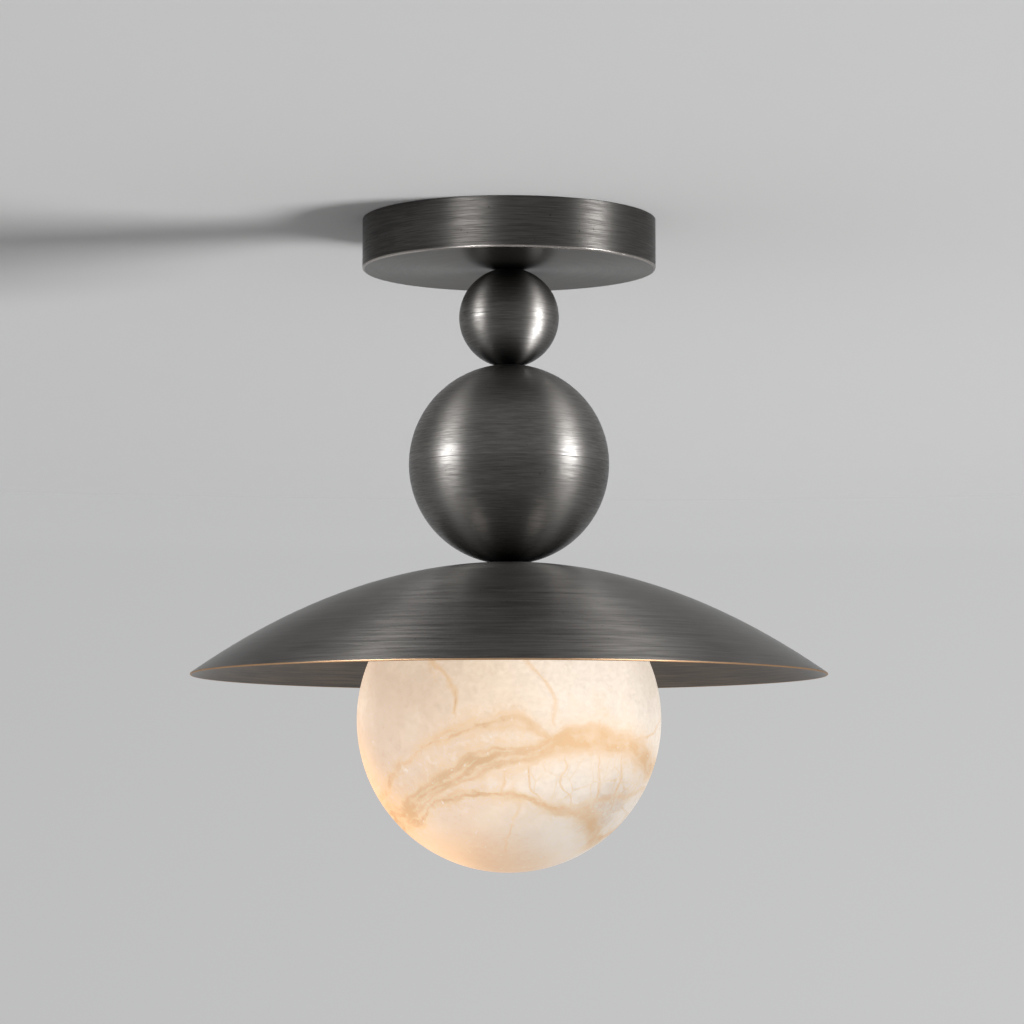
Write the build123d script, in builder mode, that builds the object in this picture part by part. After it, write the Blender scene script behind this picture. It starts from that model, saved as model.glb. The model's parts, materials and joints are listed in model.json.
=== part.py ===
from build123d import *
import math
import os

# Flush mount ceiling light: a round canopy, a small and a large ball on one threaded stem,
# a shallow spun dome shade, and a stone globe that screws up under the shade.
# Sizes are in millimetres. Z is up, the ceiling is the plane Z = 0, and the light hangs
# below it round the Z axis.

# Driving sizes of the canopy
canopy_diameter = 147.0
canopy_height = 25.0
canopy_wall = 1.5
canopy_edge_radius = 0.8

# Driving sizes of the mounting bracket, a round plate with two ears turned down
bracket_thickness = 2.0
plate_diameter = 104.0
supply_hole_diameter = 24.0
box_spacing_short = 69.85
box_spacing_long = 88.9
box_slot_width = 5.0
box_slot_margin = 0.5
ear_width = 16.0
ear_height = 14.0
ear_clearance = 0.25
ear_corner_radius = 4.0
bend_radius = 1.5

# Driving sizes of the set screws that hold the canopy to the ears
set_screw_diameter = 4.0
set_screw_length = 7.0
set_screw_depth = 8.0
set_screw_sink = 0.3
set_screw_socket = 2.0
set_screw_socket_depth = 2.0

# Driving sizes of the earth screw on the bracket
earth_screw_diameter = 4.8
earth_screw_head = 8.0
earth_screw_head_height = 3.0
earth_screw_flange = 12.0
earth_screw_flange_height = 1.2
earth_screw_inset = 12.0
earth_screw_angle = 41.0

# Driving sizes of the stem, its nuts and its washers
stem_diameter = 10.0
stem_clearance = 0.15
stem_proud = 1.6
nut_wall = 2.0
nut_height = 5.0
nut_chamfer = 0.6
washer_land = 4.0
washer_thickness = 1.0
washer_teeth = 12
washer_notch = 1.6

# Driving sizes of the leads and of the bushings that they leave the stem through
lead_diameter = 2.0
lead_gap = 0.1
lead_clearance = 0.45
bushing_wall = 0.9
bushing_fit = 0.1
bushing_flange = 1.5
bushing_depth = 6.0

# Driving sizes of the two balls, each made of two hollow halves
small_ball_diameter = 50.0
large_ball_diameter = 100.0
ball_wall = 1.5
seat_land = 1.35
lap_height = 3.0
lap_fit = 0.05
seam_chamfer = 0.15

# Driving sizes of the shade
shade_diameter = 316.0
shade_depth = 55.4
shade_wall = 1.2
shade_flat_land = 3.5
shade_edge_radius = 0.45

# Driving sizes of the globe, its collar, its seal and the fitter that they screw on to
globe_diameter = 151.0
globe_wall = 8.0
globe_mouth_land = 0.5
globe_mouth_radius = 0.8
thread_diameter = 48.6
thread_gap = 0.3
thread_pitch = 2.8
thread_turns = 3
thread_run_out = 0.1
fitter_wall = 2.0
fitter_plate_thickness = 1.5
fitter_edge = 1.5
shade_gap = 1.4
collar_wall = 2.1
collar_flange_width = 5.8
collar_flange_thickness = 1.6
collar_lip = 1.4
bond_gap = 0.2
seal_thickness = 2.0
seal_width = 5.0
seal_gap = 0.1
seal_edge_radius = 0.5

# Driving sizes of the lamp holder and the strap that carries it
strap_thickness = 1.2
strap_land = 1.85
strap_fit = 0.1
strap_end = 5.0
holder_length = 19.0
holder_depth = 14.0
holder_height = 20.0
holder_corner_radius = 3.0
holder_edge = 0.6
holder_drop = 7.5
holder_screw_depth = 5.0
holder_screw_diameter = 3.0
holder_screw_bite = 2.5
holder_screw_head = 5.2
holder_screw_head_height = 1.8
contact_wall = 0.4
contact_height = 8.0
contact_fit = 0.1

# Driving sizes of the push-in lamp
pin_spacing = 9.0
pin_width = 2.4
pin_thickness = 0.8
pin_length = 9.5
pin_clearance = 0.2
bulb_gap = 0.25
bulb_base_diameter = 16.0
bulb_base_height = 9.0
bulb_base_edge = 1.0
bulb_spigot_height = 2.5
bulb_cover_diameter = 17.0
bulb_cover_wall = 1.0
bulb_cover_length = 39.0
bulb_fit = 0.1
board_width = 9.0
board_thickness = 1.0
board_clearance = 6.0

# Driving sizes of the terminal block under the bracket
pole_count = 3
pole_pitch = 8.0
block_inset = 8.0
block_depth = 17.0
block_web_height = 8.0
block_tower_height = 12.5
block_tower_width = 6.4
block_lug_height = 4.0
block_edge = 0.6
barrel_diameter = 5.0
barrel_bore = 3.2
barrel_end = 1.0
barrel_fit = 0.05
clamp_screw_diameter = 2.6
clamp_screw_inset = 3.4
clamp_screw_sink = 0.6
block_screw_diameter = 3.0
block_screw_head = 4.4
block_screw_head_height = 1.6

# Driving sizes of the earth ring terminal under the canopy nut
ring_terminal_thickness = 0.8
ring_terminal_land = 3.0
ring_terminal_tongue = 4.0
crimp_wall = 0.5
crimp_length = 5.0
crimp_reach = 13.0

# Clearances that several pieces share: a screw in its thread, and a screw in a plain hole
thread_fit = 0.05
hole_clearance = 0.2
screw_slot_width = 0.6
screw_slot_depth = 0.7


# Radii that follow from the driving sizes
canopy_radius = canopy_diameter / 2
canopy_inner_radius = canopy_radius - canopy_wall
stem_radius = stem_diameter / 2
stem_hole_radius = stem_radius + stem_clearance
lead_radius = lead_diameter / 2
lead_offset = lead_radius + lead_gap / 2
bushing_bore_radius = lead_offset + lead_radius + lead_clearance
stem_bore_radius = bushing_bore_radius + bushing_wall + bushing_fit
nut_flat_radius = stem_radius + nut_wall
washer_radius = stem_radius + washer_land
seat_radius = stem_hole_radius + seat_land
small_ball_radius = small_ball_diameter / 2
large_ball_radius = large_ball_diameter / 2
shade_radius = shade_diameter / 2
shade_flat_radius = seat_radius + shade_flat_land
globe_radius = globe_diameter / 2
globe_inner_radius = globe_radius - globe_wall
skirt_radius = thread_diameter / 2
skirt_inner_radius = skirt_radius - fitter_wall
collar_bore_radius = skirt_radius + thread_gap
collar_sleeve_radius = collar_bore_radius + collar_wall
collar_flange_radius = collar_sleeve_radius + collar_flange_width
globe_hole_radius = collar_sleeve_radius + bond_gap
globe_mouth_flat_radius = collar_flange_radius + globe_mouth_land
fitter_plate_radius = collar_flange_radius - fitter_edge
set_screw_radius = set_screw_diameter / 2
plate_radius = plate_diameter / 2


def rise(radius, offset):
    """Height of a circle's edge at that offset from its centre line."""
    return math.sqrt(radius**2 - offset**2)


def shade_drop(radius):
    """How far the dome, a parabola, has fallen below its flat centre at that radius."""
    fallen = (radius**2 - shade_flat_radius**2) / (shade_radius**2 - shade_flat_radius**2)
    return shade_depth * fallen


# Levels along the Z axis, from the ceiling down
bracket_bottom = -bracket_thickness
canopy_bottom = -canopy_height
canopy_floor = canopy_bottom + canopy_wall
ring_terminal_bottom = canopy_floor + washer_thickness
canopy_nut_bottom = ring_terminal_bottom + ring_terminal_thickness
stem_top = canopy_nut_bottom + nut_height + stem_proud
small_ball_centre = canopy_bottom - rise(small_ball_radius, seat_radius)
ball_joint = small_ball_centre - rise(small_ball_radius, seat_radius)
large_ball_centre = ball_joint - rise(large_ball_radius, seat_radius)
shade_top = large_ball_centre - rise(large_ball_radius, seat_radius)
fitter_top = shade_top - shade_wall
fitter_plate_top = fitter_top - shade_drop(fitter_plate_radius) - shade_gap
fitter_plate_bottom = fitter_plate_top - fitter_plate_thickness
seal_top = fitter_plate_bottom - seal_gap
collar_top = seal_top - seal_thickness - seal_gap
globe_mouth = collar_top - collar_flange_thickness - bond_gap
globe_centre = globe_mouth - rise(globe_radius, globe_mouth_flat_radius)
thread_travel = thread_pitch * thread_turns
skirt_bottom = collar_top - thread_travel + thread_run_out
collar_bottom = skirt_bottom - collar_lip
fitter_washer_top = fitter_plate_bottom - strap_thickness
fitter_nut_top = fitter_washer_top - washer_thickness
stem_bottom = fitter_nut_top - nut_height - stem_proud
holder_top = stem_bottom - bushing_flange - holder_drop
holder_bottom = holder_top - holder_height
bulb_top = holder_bottom - bulb_gap
bulb_base_bottom = bulb_top - bulb_base_height
bulb_bottom = bulb_base_bottom - bulb_cover_length
lead_level = bracket_bottom - block_web_height + barrel_diameter / 2


# Canopy: a shallow cup that covers the ceiling box, open to the ceiling
with BuildPart() as canopy:
    with BuildSketch(Plane.XY.offset(canopy_bottom)):
        Circle(canopy_radius)
    extrude(amount=canopy_height)
    fillet(canopy.edges().sort_by(Axis.Z)[0], radius=canopy_edge_radius)
    with BuildSketch(Plane.XY.offset(canopy_floor)):
        Circle(canopy_inner_radius)
    extrude(amount=canopy_height - canopy_wall, mode=Mode.SUBTRACT)
    with BuildSketch(Plane.XY.offset(canopy_bottom)):
        Circle(stem_hole_radius)
    extrude(amount=canopy_wall, mode=Mode.SUBTRACT)
    with BuildSketch(Plane.YZ):
        with Locations((0, -set_screw_depth)):
            Circle(set_screw_radius + hole_clearance)
    extrude(amount=canopy_radius, both=True, mode=Mode.SUBTRACT)


# Mounting bracket: a stamped plate that is screwed to the ceiling box
ear_face = rise(canopy_inner_radius, ear_width / 2) - ear_clearance
earth_screw_reach = plate_radius - earth_screw_inset
earth_screw_x = earth_screw_reach * math.cos(math.radians(earth_screw_angle))
earth_screw_y = earth_screw_reach * math.sin(math.radians(earth_screw_angle))
box_slot_spacing = (box_spacing_short + box_spacing_long) / 2
box_slot_length = (box_spacing_long - box_spacing_short) / 2 + box_slot_width + 2 * box_slot_margin
block_setback = plate_radius - block_inset - block_depth
block_middle = block_setback + block_depth / 2
block_towers = (pole_count - 1) * pole_pitch + block_tower_width
block_screw_spacing = block_towers + block_screw_head + 2 * block_edge
block_length = block_screw_spacing + block_screw_head + 2 * block_edge

with BuildPart() as mounting_bracket:
    with BuildSketch(Plane.XY.offset(bracket_bottom)):
        Circle(plate_radius)
        Rectangle(2 * ear_face, ear_width)
    extrude(amount=bracket_thickness)
    with BuildSketch(Plane.XY.offset(-ear_height)):
        with Locations((ear_face, 0)):
            Rectangle(bracket_thickness, ear_width, align=(Align.MAX, Align.CENTER))
        with Locations((-ear_face, 0)):
            Rectangle(bracket_thickness, ear_width, align=(Align.MIN, Align.CENTER))
    extrude(amount=ear_height)
    across = mounting_bracket.edges().filter_by(Axis.Y)
    fillet(across.group_by(Axis.Z)[-1], radius=bend_radius + bracket_thickness)
    plate_underside = mounting_bracket.edges().filter_by(Axis.Y).filter_by_position(
        Axis.Z, bracket_bottom - thread_fit, bracket_bottom + thread_fit
    )
    fillet(plate_underside, radius=bend_radius)
    fillet(mounting_bracket.edges().filter_by(Axis.X).group_by(Axis.Z)[0], radius=ear_corner_radius)
    with BuildSketch(Plane.XY):
        Circle(supply_hole_diameter / 2)
        with GridLocations(box_slot_spacing, 0, 2, 1):
            SlotOverall(box_slot_length, box_slot_width)
        with Locations((earth_screw_x, earth_screw_y)):
            Circle(earth_screw_diameter / 2)
        with Locations((0, block_middle)):
            with GridLocations(block_screw_spacing, 0, 2, 1):
                Circle(block_screw_diameter / 2)
    extrude(amount=-bracket_thickness, mode=Mode.SUBTRACT)
    with BuildSketch(Plane.YZ):
        with Locations((0, -set_screw_depth)):
            Circle(set_screw_radius)
    extrude(amount=canopy_radius, both=True, mode=Mode.SUBTRACT)


# Set screws: two socket screws, just below the canopy's surface, left and right
with BuildPart() as canopy_set_screws:
    for side in (1, -1):
        head = Plane((side * (canopy_radius - set_screw_sink), 0, -set_screw_depth), z_dir=(-side, 0, 0))
        with BuildSketch(head):
            Circle(set_screw_radius - thread_fit)
        extrude(amount=set_screw_length)
        with BuildSketch(head):
            RegularPolygon(set_screw_socket / 2, 6, major_radius=False)
        extrude(amount=set_screw_socket_depth, mode=Mode.SUBTRACT)


# Earth screw: a flanged hexagon head under the bracket
with BuildPart() as earth_screw:
    with BuildSketch(Plane((earth_screw_x, earth_screw_y, 0))):
        Circle(earth_screw_diameter / 2 - thread_fit)
    extrude(amount=-bracket_thickness)
    with BuildSketch(Plane((earth_screw_x, earth_screw_y, bracket_bottom))):
        Circle(earth_screw_flange / 2)
    extrude(amount=-earth_screw_flange_height)
    with BuildSketch(Plane((earth_screw_x, earth_screw_y, bracket_bottom - earth_screw_flange_height))):
        RegularPolygon(earth_screw_head / 2, 6, major_radius=False)
    extrude(amount=-earth_screw_head_height)


# Stem: one threaded tube that clamps the canopy, both balls, the shade and the fitter
with BuildPart() as stem_tube:
    with BuildSketch(Plane.XY.offset(stem_bottom)):
        Circle(stem_radius)
        Circle(stem_bore_radius, mode=Mode.SUBTRACT)
    extrude(amount=stem_top - stem_bottom)


def stem_nut(bottom):
    """A hexagon nut on the stem, its corners turned off at both faces."""
    corner = nut_flat_radius / math.cos(math.pi / 6)
    with BuildPart() as nut:
        with BuildSketch(Plane.XY.offset(bottom)):
            Circle(corner)
        extrude(amount=nut_height)
        chamfer(nut.edges().filter_by(GeomType.CIRCLE), length=nut_chamfer)
        with BuildSketch(Plane.XY.offset(bottom)):
            RegularPolygon(nut_flat_radius, 6, major_radius=False)
            Circle(stem_radius + thread_fit, mode=Mode.SUBTRACT)
        extrude(amount=nut_height, mode=Mode.INTERSECT)
    return nut.part


def lock_washer(bottom):
    """A flat washer with a ring of locking teeth round its edge."""
    with BuildPart() as washer:
        with BuildSketch(Plane.XY.offset(bottom)):
            Circle(washer_radius)
            Circle(stem_hole_radius, mode=Mode.SUBTRACT)
            with PolarLocations(washer_radius, washer_teeth):
                Rectangle(washer_notch, washer_notch, mode=Mode.SUBTRACT)
        extrude(amount=washer_thickness)
    return washer.part


def stem_bushing(face, outward):
    """A flanged insulating bushing pushed into one end of the stem; outward is +1 at the top."""
    end = Plane((0, 0, face), x_dir=(1, 0, 0), z_dir=(0, 0, outward))
    with BuildPart() as bushing:
        with BuildSketch(end):
            Circle(stem_radius)
        extrude(amount=bushing_flange)
        with BuildSketch(end):
            Circle(stem_bore_radius - bushing_fit)
        extrude(amount=-bushing_depth)
        with BuildSketch(end.offset(bushing_flange)):
            Circle(bushing_bore_radius)
        extrude(amount=-(bushing_flange + bushing_depth), mode=Mode.SUBTRACT)
        fillet(bushing.edges().sort_by(Axis.Z)[-1 if outward > 0 else 0], radius=bushing_wall / 2)
    return bushing.part


canopy_lock_washer = lock_washer(canopy_floor)
canopy_nut = stem_nut(canopy_nut_bottom)
fitter_lock_washer = lock_washer(fitter_washer_top - washer_thickness)
fitter_nut = stem_nut(fitter_nut_top - nut_height)
stem_top_bushing = stem_bushing(stem_top, 1)
stem_bottom_bushing = stem_bushing(stem_bottom, -1)


# Balls: two hollow halves each, lapped at the seam, with a flat seat and a stem hole at each pole
def ball_half(radius, centre, upper):
    """One half of a ball. Its profile is drawn with local Y from the seam to the pole."""
    inner_radius = radius - ball_wall
    lap_radius = radius - ball_wall / 2
    tongue_height = lap_height - lap_fit
    seat = rise(radius, seat_radius)
    inside = rise(inner_radius, stem_hole_radius)
    seat_angle = math.degrees(math.asin(seat / radius))
    hole_angle = math.degrees(math.asin(inside / inner_radius))
    # The upper half is relieved inside to take the tongue that stands up from the lower half
    lap_edge = lap_height if upper else -tongue_height
    lap_face = lap_radius if upper else lap_radius - lap_fit
    lap_angle = math.degrees(math.asin(lap_edge / inner_radius))
    seam_angle = math.degrees(math.asin(seam_chamfer / radius))
    seam_edge = rise(radius, seam_chamfer)
    profile = Plane((0, 0, centre), x_dir=(1, 0, 0), z_dir=(0, -1 if upper else 1, 0))
    with BuildPart() as half:
        with BuildSketch(profile):
            with BuildLine():
                CenterArc((0, 0), radius, seam_angle, seat_angle - seam_angle)
                Polyline((seat_radius, seat), (stem_hole_radius, seat), (stem_hole_radius, inside))
                CenterArc((0, 0), inner_radius, lap_angle, hole_angle - lap_angle)
                Polyline(
                    (rise(inner_radius, lap_edge), lap_edge),
                    (lap_face, lap_edge),
                    (lap_face, 0),
                    (radius - seam_chamfer, 0),
                    (seam_edge, seam_chamfer),
                )
            make_face()
        revolve(axis=Axis.Z)
    return half.part


small_ball_upper_half = ball_half(small_ball_radius, small_ball_centre, True)
small_ball_lower_half = ball_half(small_ball_radius, small_ball_centre, False)
large_ball_upper_half = ball_half(large_ball_radius, large_ball_centre, True)
large_ball_lower_half = ball_half(large_ball_radius, large_ball_centre, False)


# Shade: a spun dome. Its section is a parabola, and the wall keeps its height, so it thins
# towards the rim as spun sheet does
def shade_skin(top):
    """The dome's section from its flat to its rim: a parabola as a curve with three poles."""
    slope_pole = shade_depth * shade_flat_radius / (shade_radius + shade_flat_radius)
    middle = (shade_flat_radius + shade_radius) / 2
    Bezier((shade_flat_radius, top), (middle, top - slope_pole), (shade_radius, top - shade_depth))


with BuildPart() as shade:
    with BuildSketch(Plane.XZ):
        with BuildLine():
            Line((stem_hole_radius, shade_top), (shade_flat_radius, shade_top))
            shade_skin(shade_top)
            Line((shade_radius, shade_top - shade_depth), (shade_radius, fitter_top - shade_depth))
            shade_skin(fitter_top)
            Line((shade_flat_radius, fitter_top), (stem_hole_radius, fitter_top))
            Line((stem_hole_radius, fitter_top), (stem_hole_radius, shade_top))
        make_face()
    revolve(axis=Axis.Z)
    fillet(shade.edges().filter_by(GeomType.CIRCLE).sort_by(SortBy.RADIUS)[-2:], radius=shade_edge_radius)


# Fitter: a plate under the shade with a threaded skirt that the globe screws on to
with BuildPart() as globe_fitter:
    with BuildSketch(Plane.XZ):
        with BuildLine():
            Polyline(
                (stem_hole_radius, fitter_top),
                (shade_flat_radius, fitter_top),
                (shade_flat_radius, fitter_plate_top),
                (fitter_plate_radius, fitter_plate_top),
                (fitter_plate_radius, fitter_plate_bottom),
                (skirt_radius, fitter_plate_bottom),
                (skirt_radius, skirt_bottom),
                (skirt_inner_radius, skirt_bottom),
                (skirt_inner_radius, fitter_plate_bottom),
                (stem_hole_radius, fitter_plate_bottom),
                close=True,
            )
        make_face()
    revolve(axis=Axis.Z)


# Globe collar: a threaded ring bonded into the mouth of the globe
with BuildPart() as globe_collar:
    with BuildSketch(Plane.XZ):
        with BuildLine():
            Polyline(
                (collar_bore_radius, collar_top),
                (collar_flange_radius, collar_top),
                (collar_flange_radius, collar_top - collar_flange_thickness),
                (collar_sleeve_radius, collar_top - collar_flange_thickness),
                (collar_sleeve_radius, collar_bottom),
                (collar_bore_radius, collar_bottom),
                close=True,
            )
        make_face()
    revolve(axis=Axis.Z)


# Globe seal: a soft ring between the collar and the fitter's plate
with BuildPart() as globe_seal:
    with BuildSketch(Plane.XY.offset(seal_top)):
        Circle(collar_bore_radius + seal_width)
        Circle(collar_bore_radius, mode=Mode.SUBTRACT)
    extrude(amount=-seal_thickness)
    fillet(globe_seal.edges().filter_by(GeomType.CIRCLE), radius=seal_edge_radius)


# Globe: a hollow stone sphere, cut flat and bored at the top for its collar
mouth_height = globe_mouth - globe_centre
bore_height = rise(globe_inner_radius, globe_hole_radius)
mouth_angle = math.degrees(math.asin(mouth_height / globe_radius))
bore_angle = math.degrees(math.asin(bore_height / globe_inner_radius))

with BuildPart() as globe:
    with BuildSketch(Plane((0, 0, globe_centre), x_dir=(1, 0, 0), z_dir=(0, -1, 0))):
        with BuildLine():
            CenterArc((0, 0), globe_radius, -90, 90 + mouth_angle)
            Polyline((globe_mouth_flat_radius, mouth_height), (globe_hole_radius, mouth_height))
            Line((globe_hole_radius, mouth_height), (globe_hole_radius, bore_height))
            CenterArc((0, 0), globe_inner_radius, -90, 90 + bore_angle)
            Line((0, -globe_inner_radius), (0, -globe_radius))
        make_face()
    revolve(axis=Axis.Z)
    fillet(globe.edges().filter_by(GeomType.CIRCLE).group_by(Axis.Z)[-1].sort_by(SortBy.RADIUS)[-1],
           radius=globe_mouth_radius)


# Holder strap: a steel U clamped by the fitter nut, with the lamp holder between its legs
strap_inside = holder_length / 2 + strap_fit
strap_outside = strap_inside + strap_thickness
strap_width = 2 * (stem_hole_radius + strap_land)
holder_screw_level = holder_top - holder_screw_depth
strap_bottom = holder_screw_level - strap_end

with BuildPart() as holder_strap:
    with BuildSketch(Plane.XY.offset(fitter_washer_top)):
        Rectangle(2 * strap_outside, strap_width)
    extrude(amount=strap_thickness)
    with BuildSketch(Plane.XY.offset(strap_bottom)):
        with GridLocations(strap_inside + strap_outside, 0, 2, 1):
            Rectangle(strap_thickness, strap_width)
    extrude(amount=fitter_washer_top - strap_bottom)
    fillet(holder_strap.edges().filter_by(Axis.Y).group_by(Axis.Z)[-1], radius=strap_thickness)
    fillet(holder_strap.edges().filter_by(Axis.X).group_by(Axis.Z)[0], radius=strap_width / 3)
    with BuildSketch(Plane.XY.offset(fitter_washer_top)):
        Circle(stem_hole_radius)
    extrude(amount=strap_thickness, mode=Mode.SUBTRACT)
    with BuildSketch(Plane.YZ):
        with Locations((0, holder_screw_level)):
            Circle(holder_screw_diameter / 2 + hole_clearance)
    extrude(amount=strap_outside, both=True, mode=Mode.SUBTRACT)


# Lamp holder: a ceramic block with two pin sockets below and two lead holes above
contact_inner_width = pin_width + 2 * pin_clearance
contact_inner_thickness = pin_thickness + 2 * pin_clearance
contact_width = contact_inner_width + 2 * contact_wall
contact_thickness = contact_inner_thickness + 2 * contact_wall
contact_top = bulb_top + pin_length + pin_clearance
contact_bottom = contact_top - contact_height
lead_end = contact_top

with BuildPart() as holder_body:
    with BuildSketch(Plane.XY.offset(holder_bottom)):
        RectangleRounded(holder_length, holder_depth, holder_corner_radius)
    extrude(amount=holder_height)
    chamfer(holder_body.faces().filter_by(Axis.Z).edges(), length=holder_edge)
    with BuildSketch(Plane.XY.offset(holder_bottom)):
        with GridLocations(pin_spacing, 0, 2, 1):
            Rectangle(contact_inner_width, contact_inner_thickness)
    extrude(amount=contact_bottom - holder_bottom, mode=Mode.SUBTRACT)
    with BuildSketch(Plane.XY.offset(contact_bottom)):
        with GridLocations(pin_spacing, 0, 2, 1):
            Rectangle(contact_width + 2 * contact_fit, contact_thickness + 2 * contact_fit)
    extrude(amount=contact_height, mode=Mode.SUBTRACT)
    with BuildSketch(Plane.XY.offset(contact_top)):
        with GridLocations(pin_spacing, 0, 2, 1):
            Circle(lead_radius + hole_clearance)
    extrude(amount=holder_top - contact_top, mode=Mode.SUBTRACT)
    for side in (1, -1):
        with BuildSketch(Plane((side * holder_length / 2, 0, holder_screw_level), z_dir=(-side, 0, 0))):
            Circle(holder_screw_diameter / 2)
        extrude(amount=holder_screw_bite, mode=Mode.SUBTRACT)


# Holder contacts: two spring sleeves that grip the lamp's pins
with BuildPart() as holder_contacts:
    with BuildSketch(Plane.XY.offset(contact_bottom)):
        with GridLocations(pin_spacing, 0, 2, 1):
            Rectangle(contact_width, contact_thickness)
            Rectangle(contact_inner_width, contact_inner_thickness, mode=Mode.SUBTRACT)
    extrude(amount=contact_height)


# Holder screws: one through each leg of the strap
with BuildPart() as holder_screws:
    for side in (1, -1):
        seat = Plane((side * strap_outside, 0, holder_screw_level), z_dir=(side, 0, 0))
        with BuildSketch(seat):
            Circle(holder_screw_diameter / 2 - thread_fit)
        extrude(amount=-(strap_thickness + strap_fit + holder_screw_bite - screw_slot_depth))
        with BuildSketch(seat):
            Circle(holder_screw_head / 2)
        extrude(amount=holder_screw_head_height)
        with BuildSketch(seat.offset(holder_screw_head_height)):
            Rectangle(holder_screw_head, screw_slot_width)
        extrude(amount=-screw_slot_depth, mode=Mode.SUBTRACT)


# Lamp: base, pins, light board and diffusing cover, which pull out of the holder together
bulb_base_radius = bulb_base_diameter / 2
bulb_cover_radius = bulb_cover_diameter / 2
bulb_cover_bore = bulb_cover_radius - bulb_cover_wall

with BuildPart() as bulb_base:
    with BuildSketch(Plane.XY.offset(bulb_base_bottom)):
        Circle(bulb_base_radius)
    extrude(amount=bulb_base_height)
    fillet(bulb_base.edges().sort_by(Axis.Z)[-1], radius=bulb_base_edge)
    with BuildSketch(Plane.XY.offset(bulb_base_bottom)):
        Circle(bulb_cover_bore - bulb_fit)
    extrude(amount=-bulb_spigot_height)

with BuildPart() as bulb_pins:
    with BuildSketch(Plane.XZ.offset(-pin_thickness / 2)):
        with Locations((0, bulb_top)):
            with GridLocations(pin_spacing, 0, 2, 1):
                SlotOverall(2 * pin_length, pin_width, rotation=90)
                SlotOverall(2 * (pin_length - pin_thickness), pin_width - 2 * pin_thickness,
                            rotation=90, mode=Mode.SUBTRACT)
        with Locations((0, bulb_top)):
            Rectangle(
                2 * holder_length, 2 * pin_length, align=(Align.CENTER, Align.MAX), mode=Mode.SUBTRACT
            )
    extrude(amount=pin_thickness)

with BuildPart() as bulb_led_board:
    board_top = bulb_base_bottom - bulb_spigot_height
    with BuildSketch(Plane.XY.offset(board_top)):
        Rectangle(board_width, board_thickness)
    extrude(amount=bulb_bottom + board_clearance - board_top)

with BuildPart() as bulb_cover:
    with BuildSketch(Plane.XZ):
        with BuildLine():
            dome_centre = bulb_bottom + bulb_cover_radius
            Line((bulb_cover_bore, bulb_base_bottom), (bulb_cover_radius, bulb_base_bottom))
            Line((bulb_cover_radius, bulb_base_bottom), (bulb_cover_radius, dome_centre))
            CenterArc((0, dome_centre), bulb_cover_radius, -90, 90)
            Line((0, bulb_bottom), (0, bulb_bottom + bulb_cover_wall))
            CenterArc((0, dome_centre), bulb_cover_bore, -90, 90)
            Line((bulb_cover_bore, dome_centre), (bulb_cover_bore, bulb_base_bottom))
        make_face()
    revolve(axis=Axis.Z)


# Terminal block: a moulded strip of towers under the bracket, beside the supply hole
pole_places = [(pole - (pole_count - 1) / 2) * pole_pitch for pole in range(pole_count)]
clamp_places = (block_setback + clamp_screw_inset, block_setback + block_depth - clamp_screw_inset)
tower_bottom = bracket_bottom - block_tower_height
clamp_bottom = tower_bottom + clamp_screw_sink
clamp_top = lead_level - barrel_bore / 2

with BuildPart() as terminal_block:
    with BuildSketch(Plane((0, block_setback, bracket_bottom), x_dir=(1, 0, 0), z_dir=(0, -1, 0))):
        Rectangle(block_length, block_lug_height, align=(Align.CENTER, Align.MAX))
        Rectangle(block_towers, block_web_height, align=(Align.CENTER, Align.MAX))
        with Locations(*[(place, 0) for place in pole_places]):
            Rectangle(block_tower_width, block_tower_height, align=(Align.CENTER, Align.MAX))
    extrude(amount=-block_depth)
    with BuildSketch(Plane((0, block_setback, lead_level), x_dir=(1, 0, 0), z_dir=(0, -1, 0))):
        with Locations(*[(place, 0) for place in pole_places]):
            Circle(barrel_diameter / 2 + barrel_fit)
    extrude(amount=-block_depth, mode=Mode.SUBTRACT)
    with BuildSketch(Plane.XY.offset(tower_bottom)):
        with Locations(*[(place, clamp) for place in pole_places for clamp in clamp_places]):
            Circle(clamp_screw_diameter / 2 + hole_clearance)
    extrude(amount=lead_level - tower_bottom, mode=Mode.SUBTRACT)
    with BuildSketch(Plane.XY.offset(bracket_bottom)):
        with Locations((0, block_middle)):
            with GridLocations(block_screw_spacing, 0, 2, 1):
                Circle(block_screw_diameter / 2 + hole_clearance)
    extrude(amount=-block_lug_height, mode=Mode.SUBTRACT)

with BuildPart() as terminal_barrels:
    with BuildSketch(Plane((0, block_setback + barrel_end, lead_level), x_dir=(1, 0, 0), z_dir=(0, -1, 0))):
        with Locations(*[(place, 0) for place in pole_places]):
            Circle(barrel_diameter / 2)
            Circle(barrel_bore / 2, mode=Mode.SUBTRACT)
    extrude(amount=-(block_depth - 2 * barrel_end))
    with BuildSketch(Plane.XY.offset(tower_bottom)):
        with Locations(*[(place, clamp) for place in pole_places for clamp in clamp_places]):
            Circle(clamp_screw_diameter / 2)
    extrude(amount=lead_level - tower_bottom, mode=Mode.SUBTRACT)

with BuildPart() as terminal_clamp_screws:
    with BuildSketch(Plane.XY.offset(clamp_bottom)):
        with Locations(*[(place, clamp) for place in pole_places for clamp in clamp_places]):
            Circle(clamp_screw_diameter / 2 - thread_fit)
    extrude(amount=clamp_top - clamp_bottom)
    with BuildSketch(Plane.XY.offset(clamp_bottom)):
        with Locations(*[(place, clamp) for place in pole_places for clamp in clamp_places]):
            Rectangle(clamp_screw_diameter, screw_slot_width)
    extrude(amount=screw_slot_depth, mode=Mode.SUBTRACT)

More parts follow.
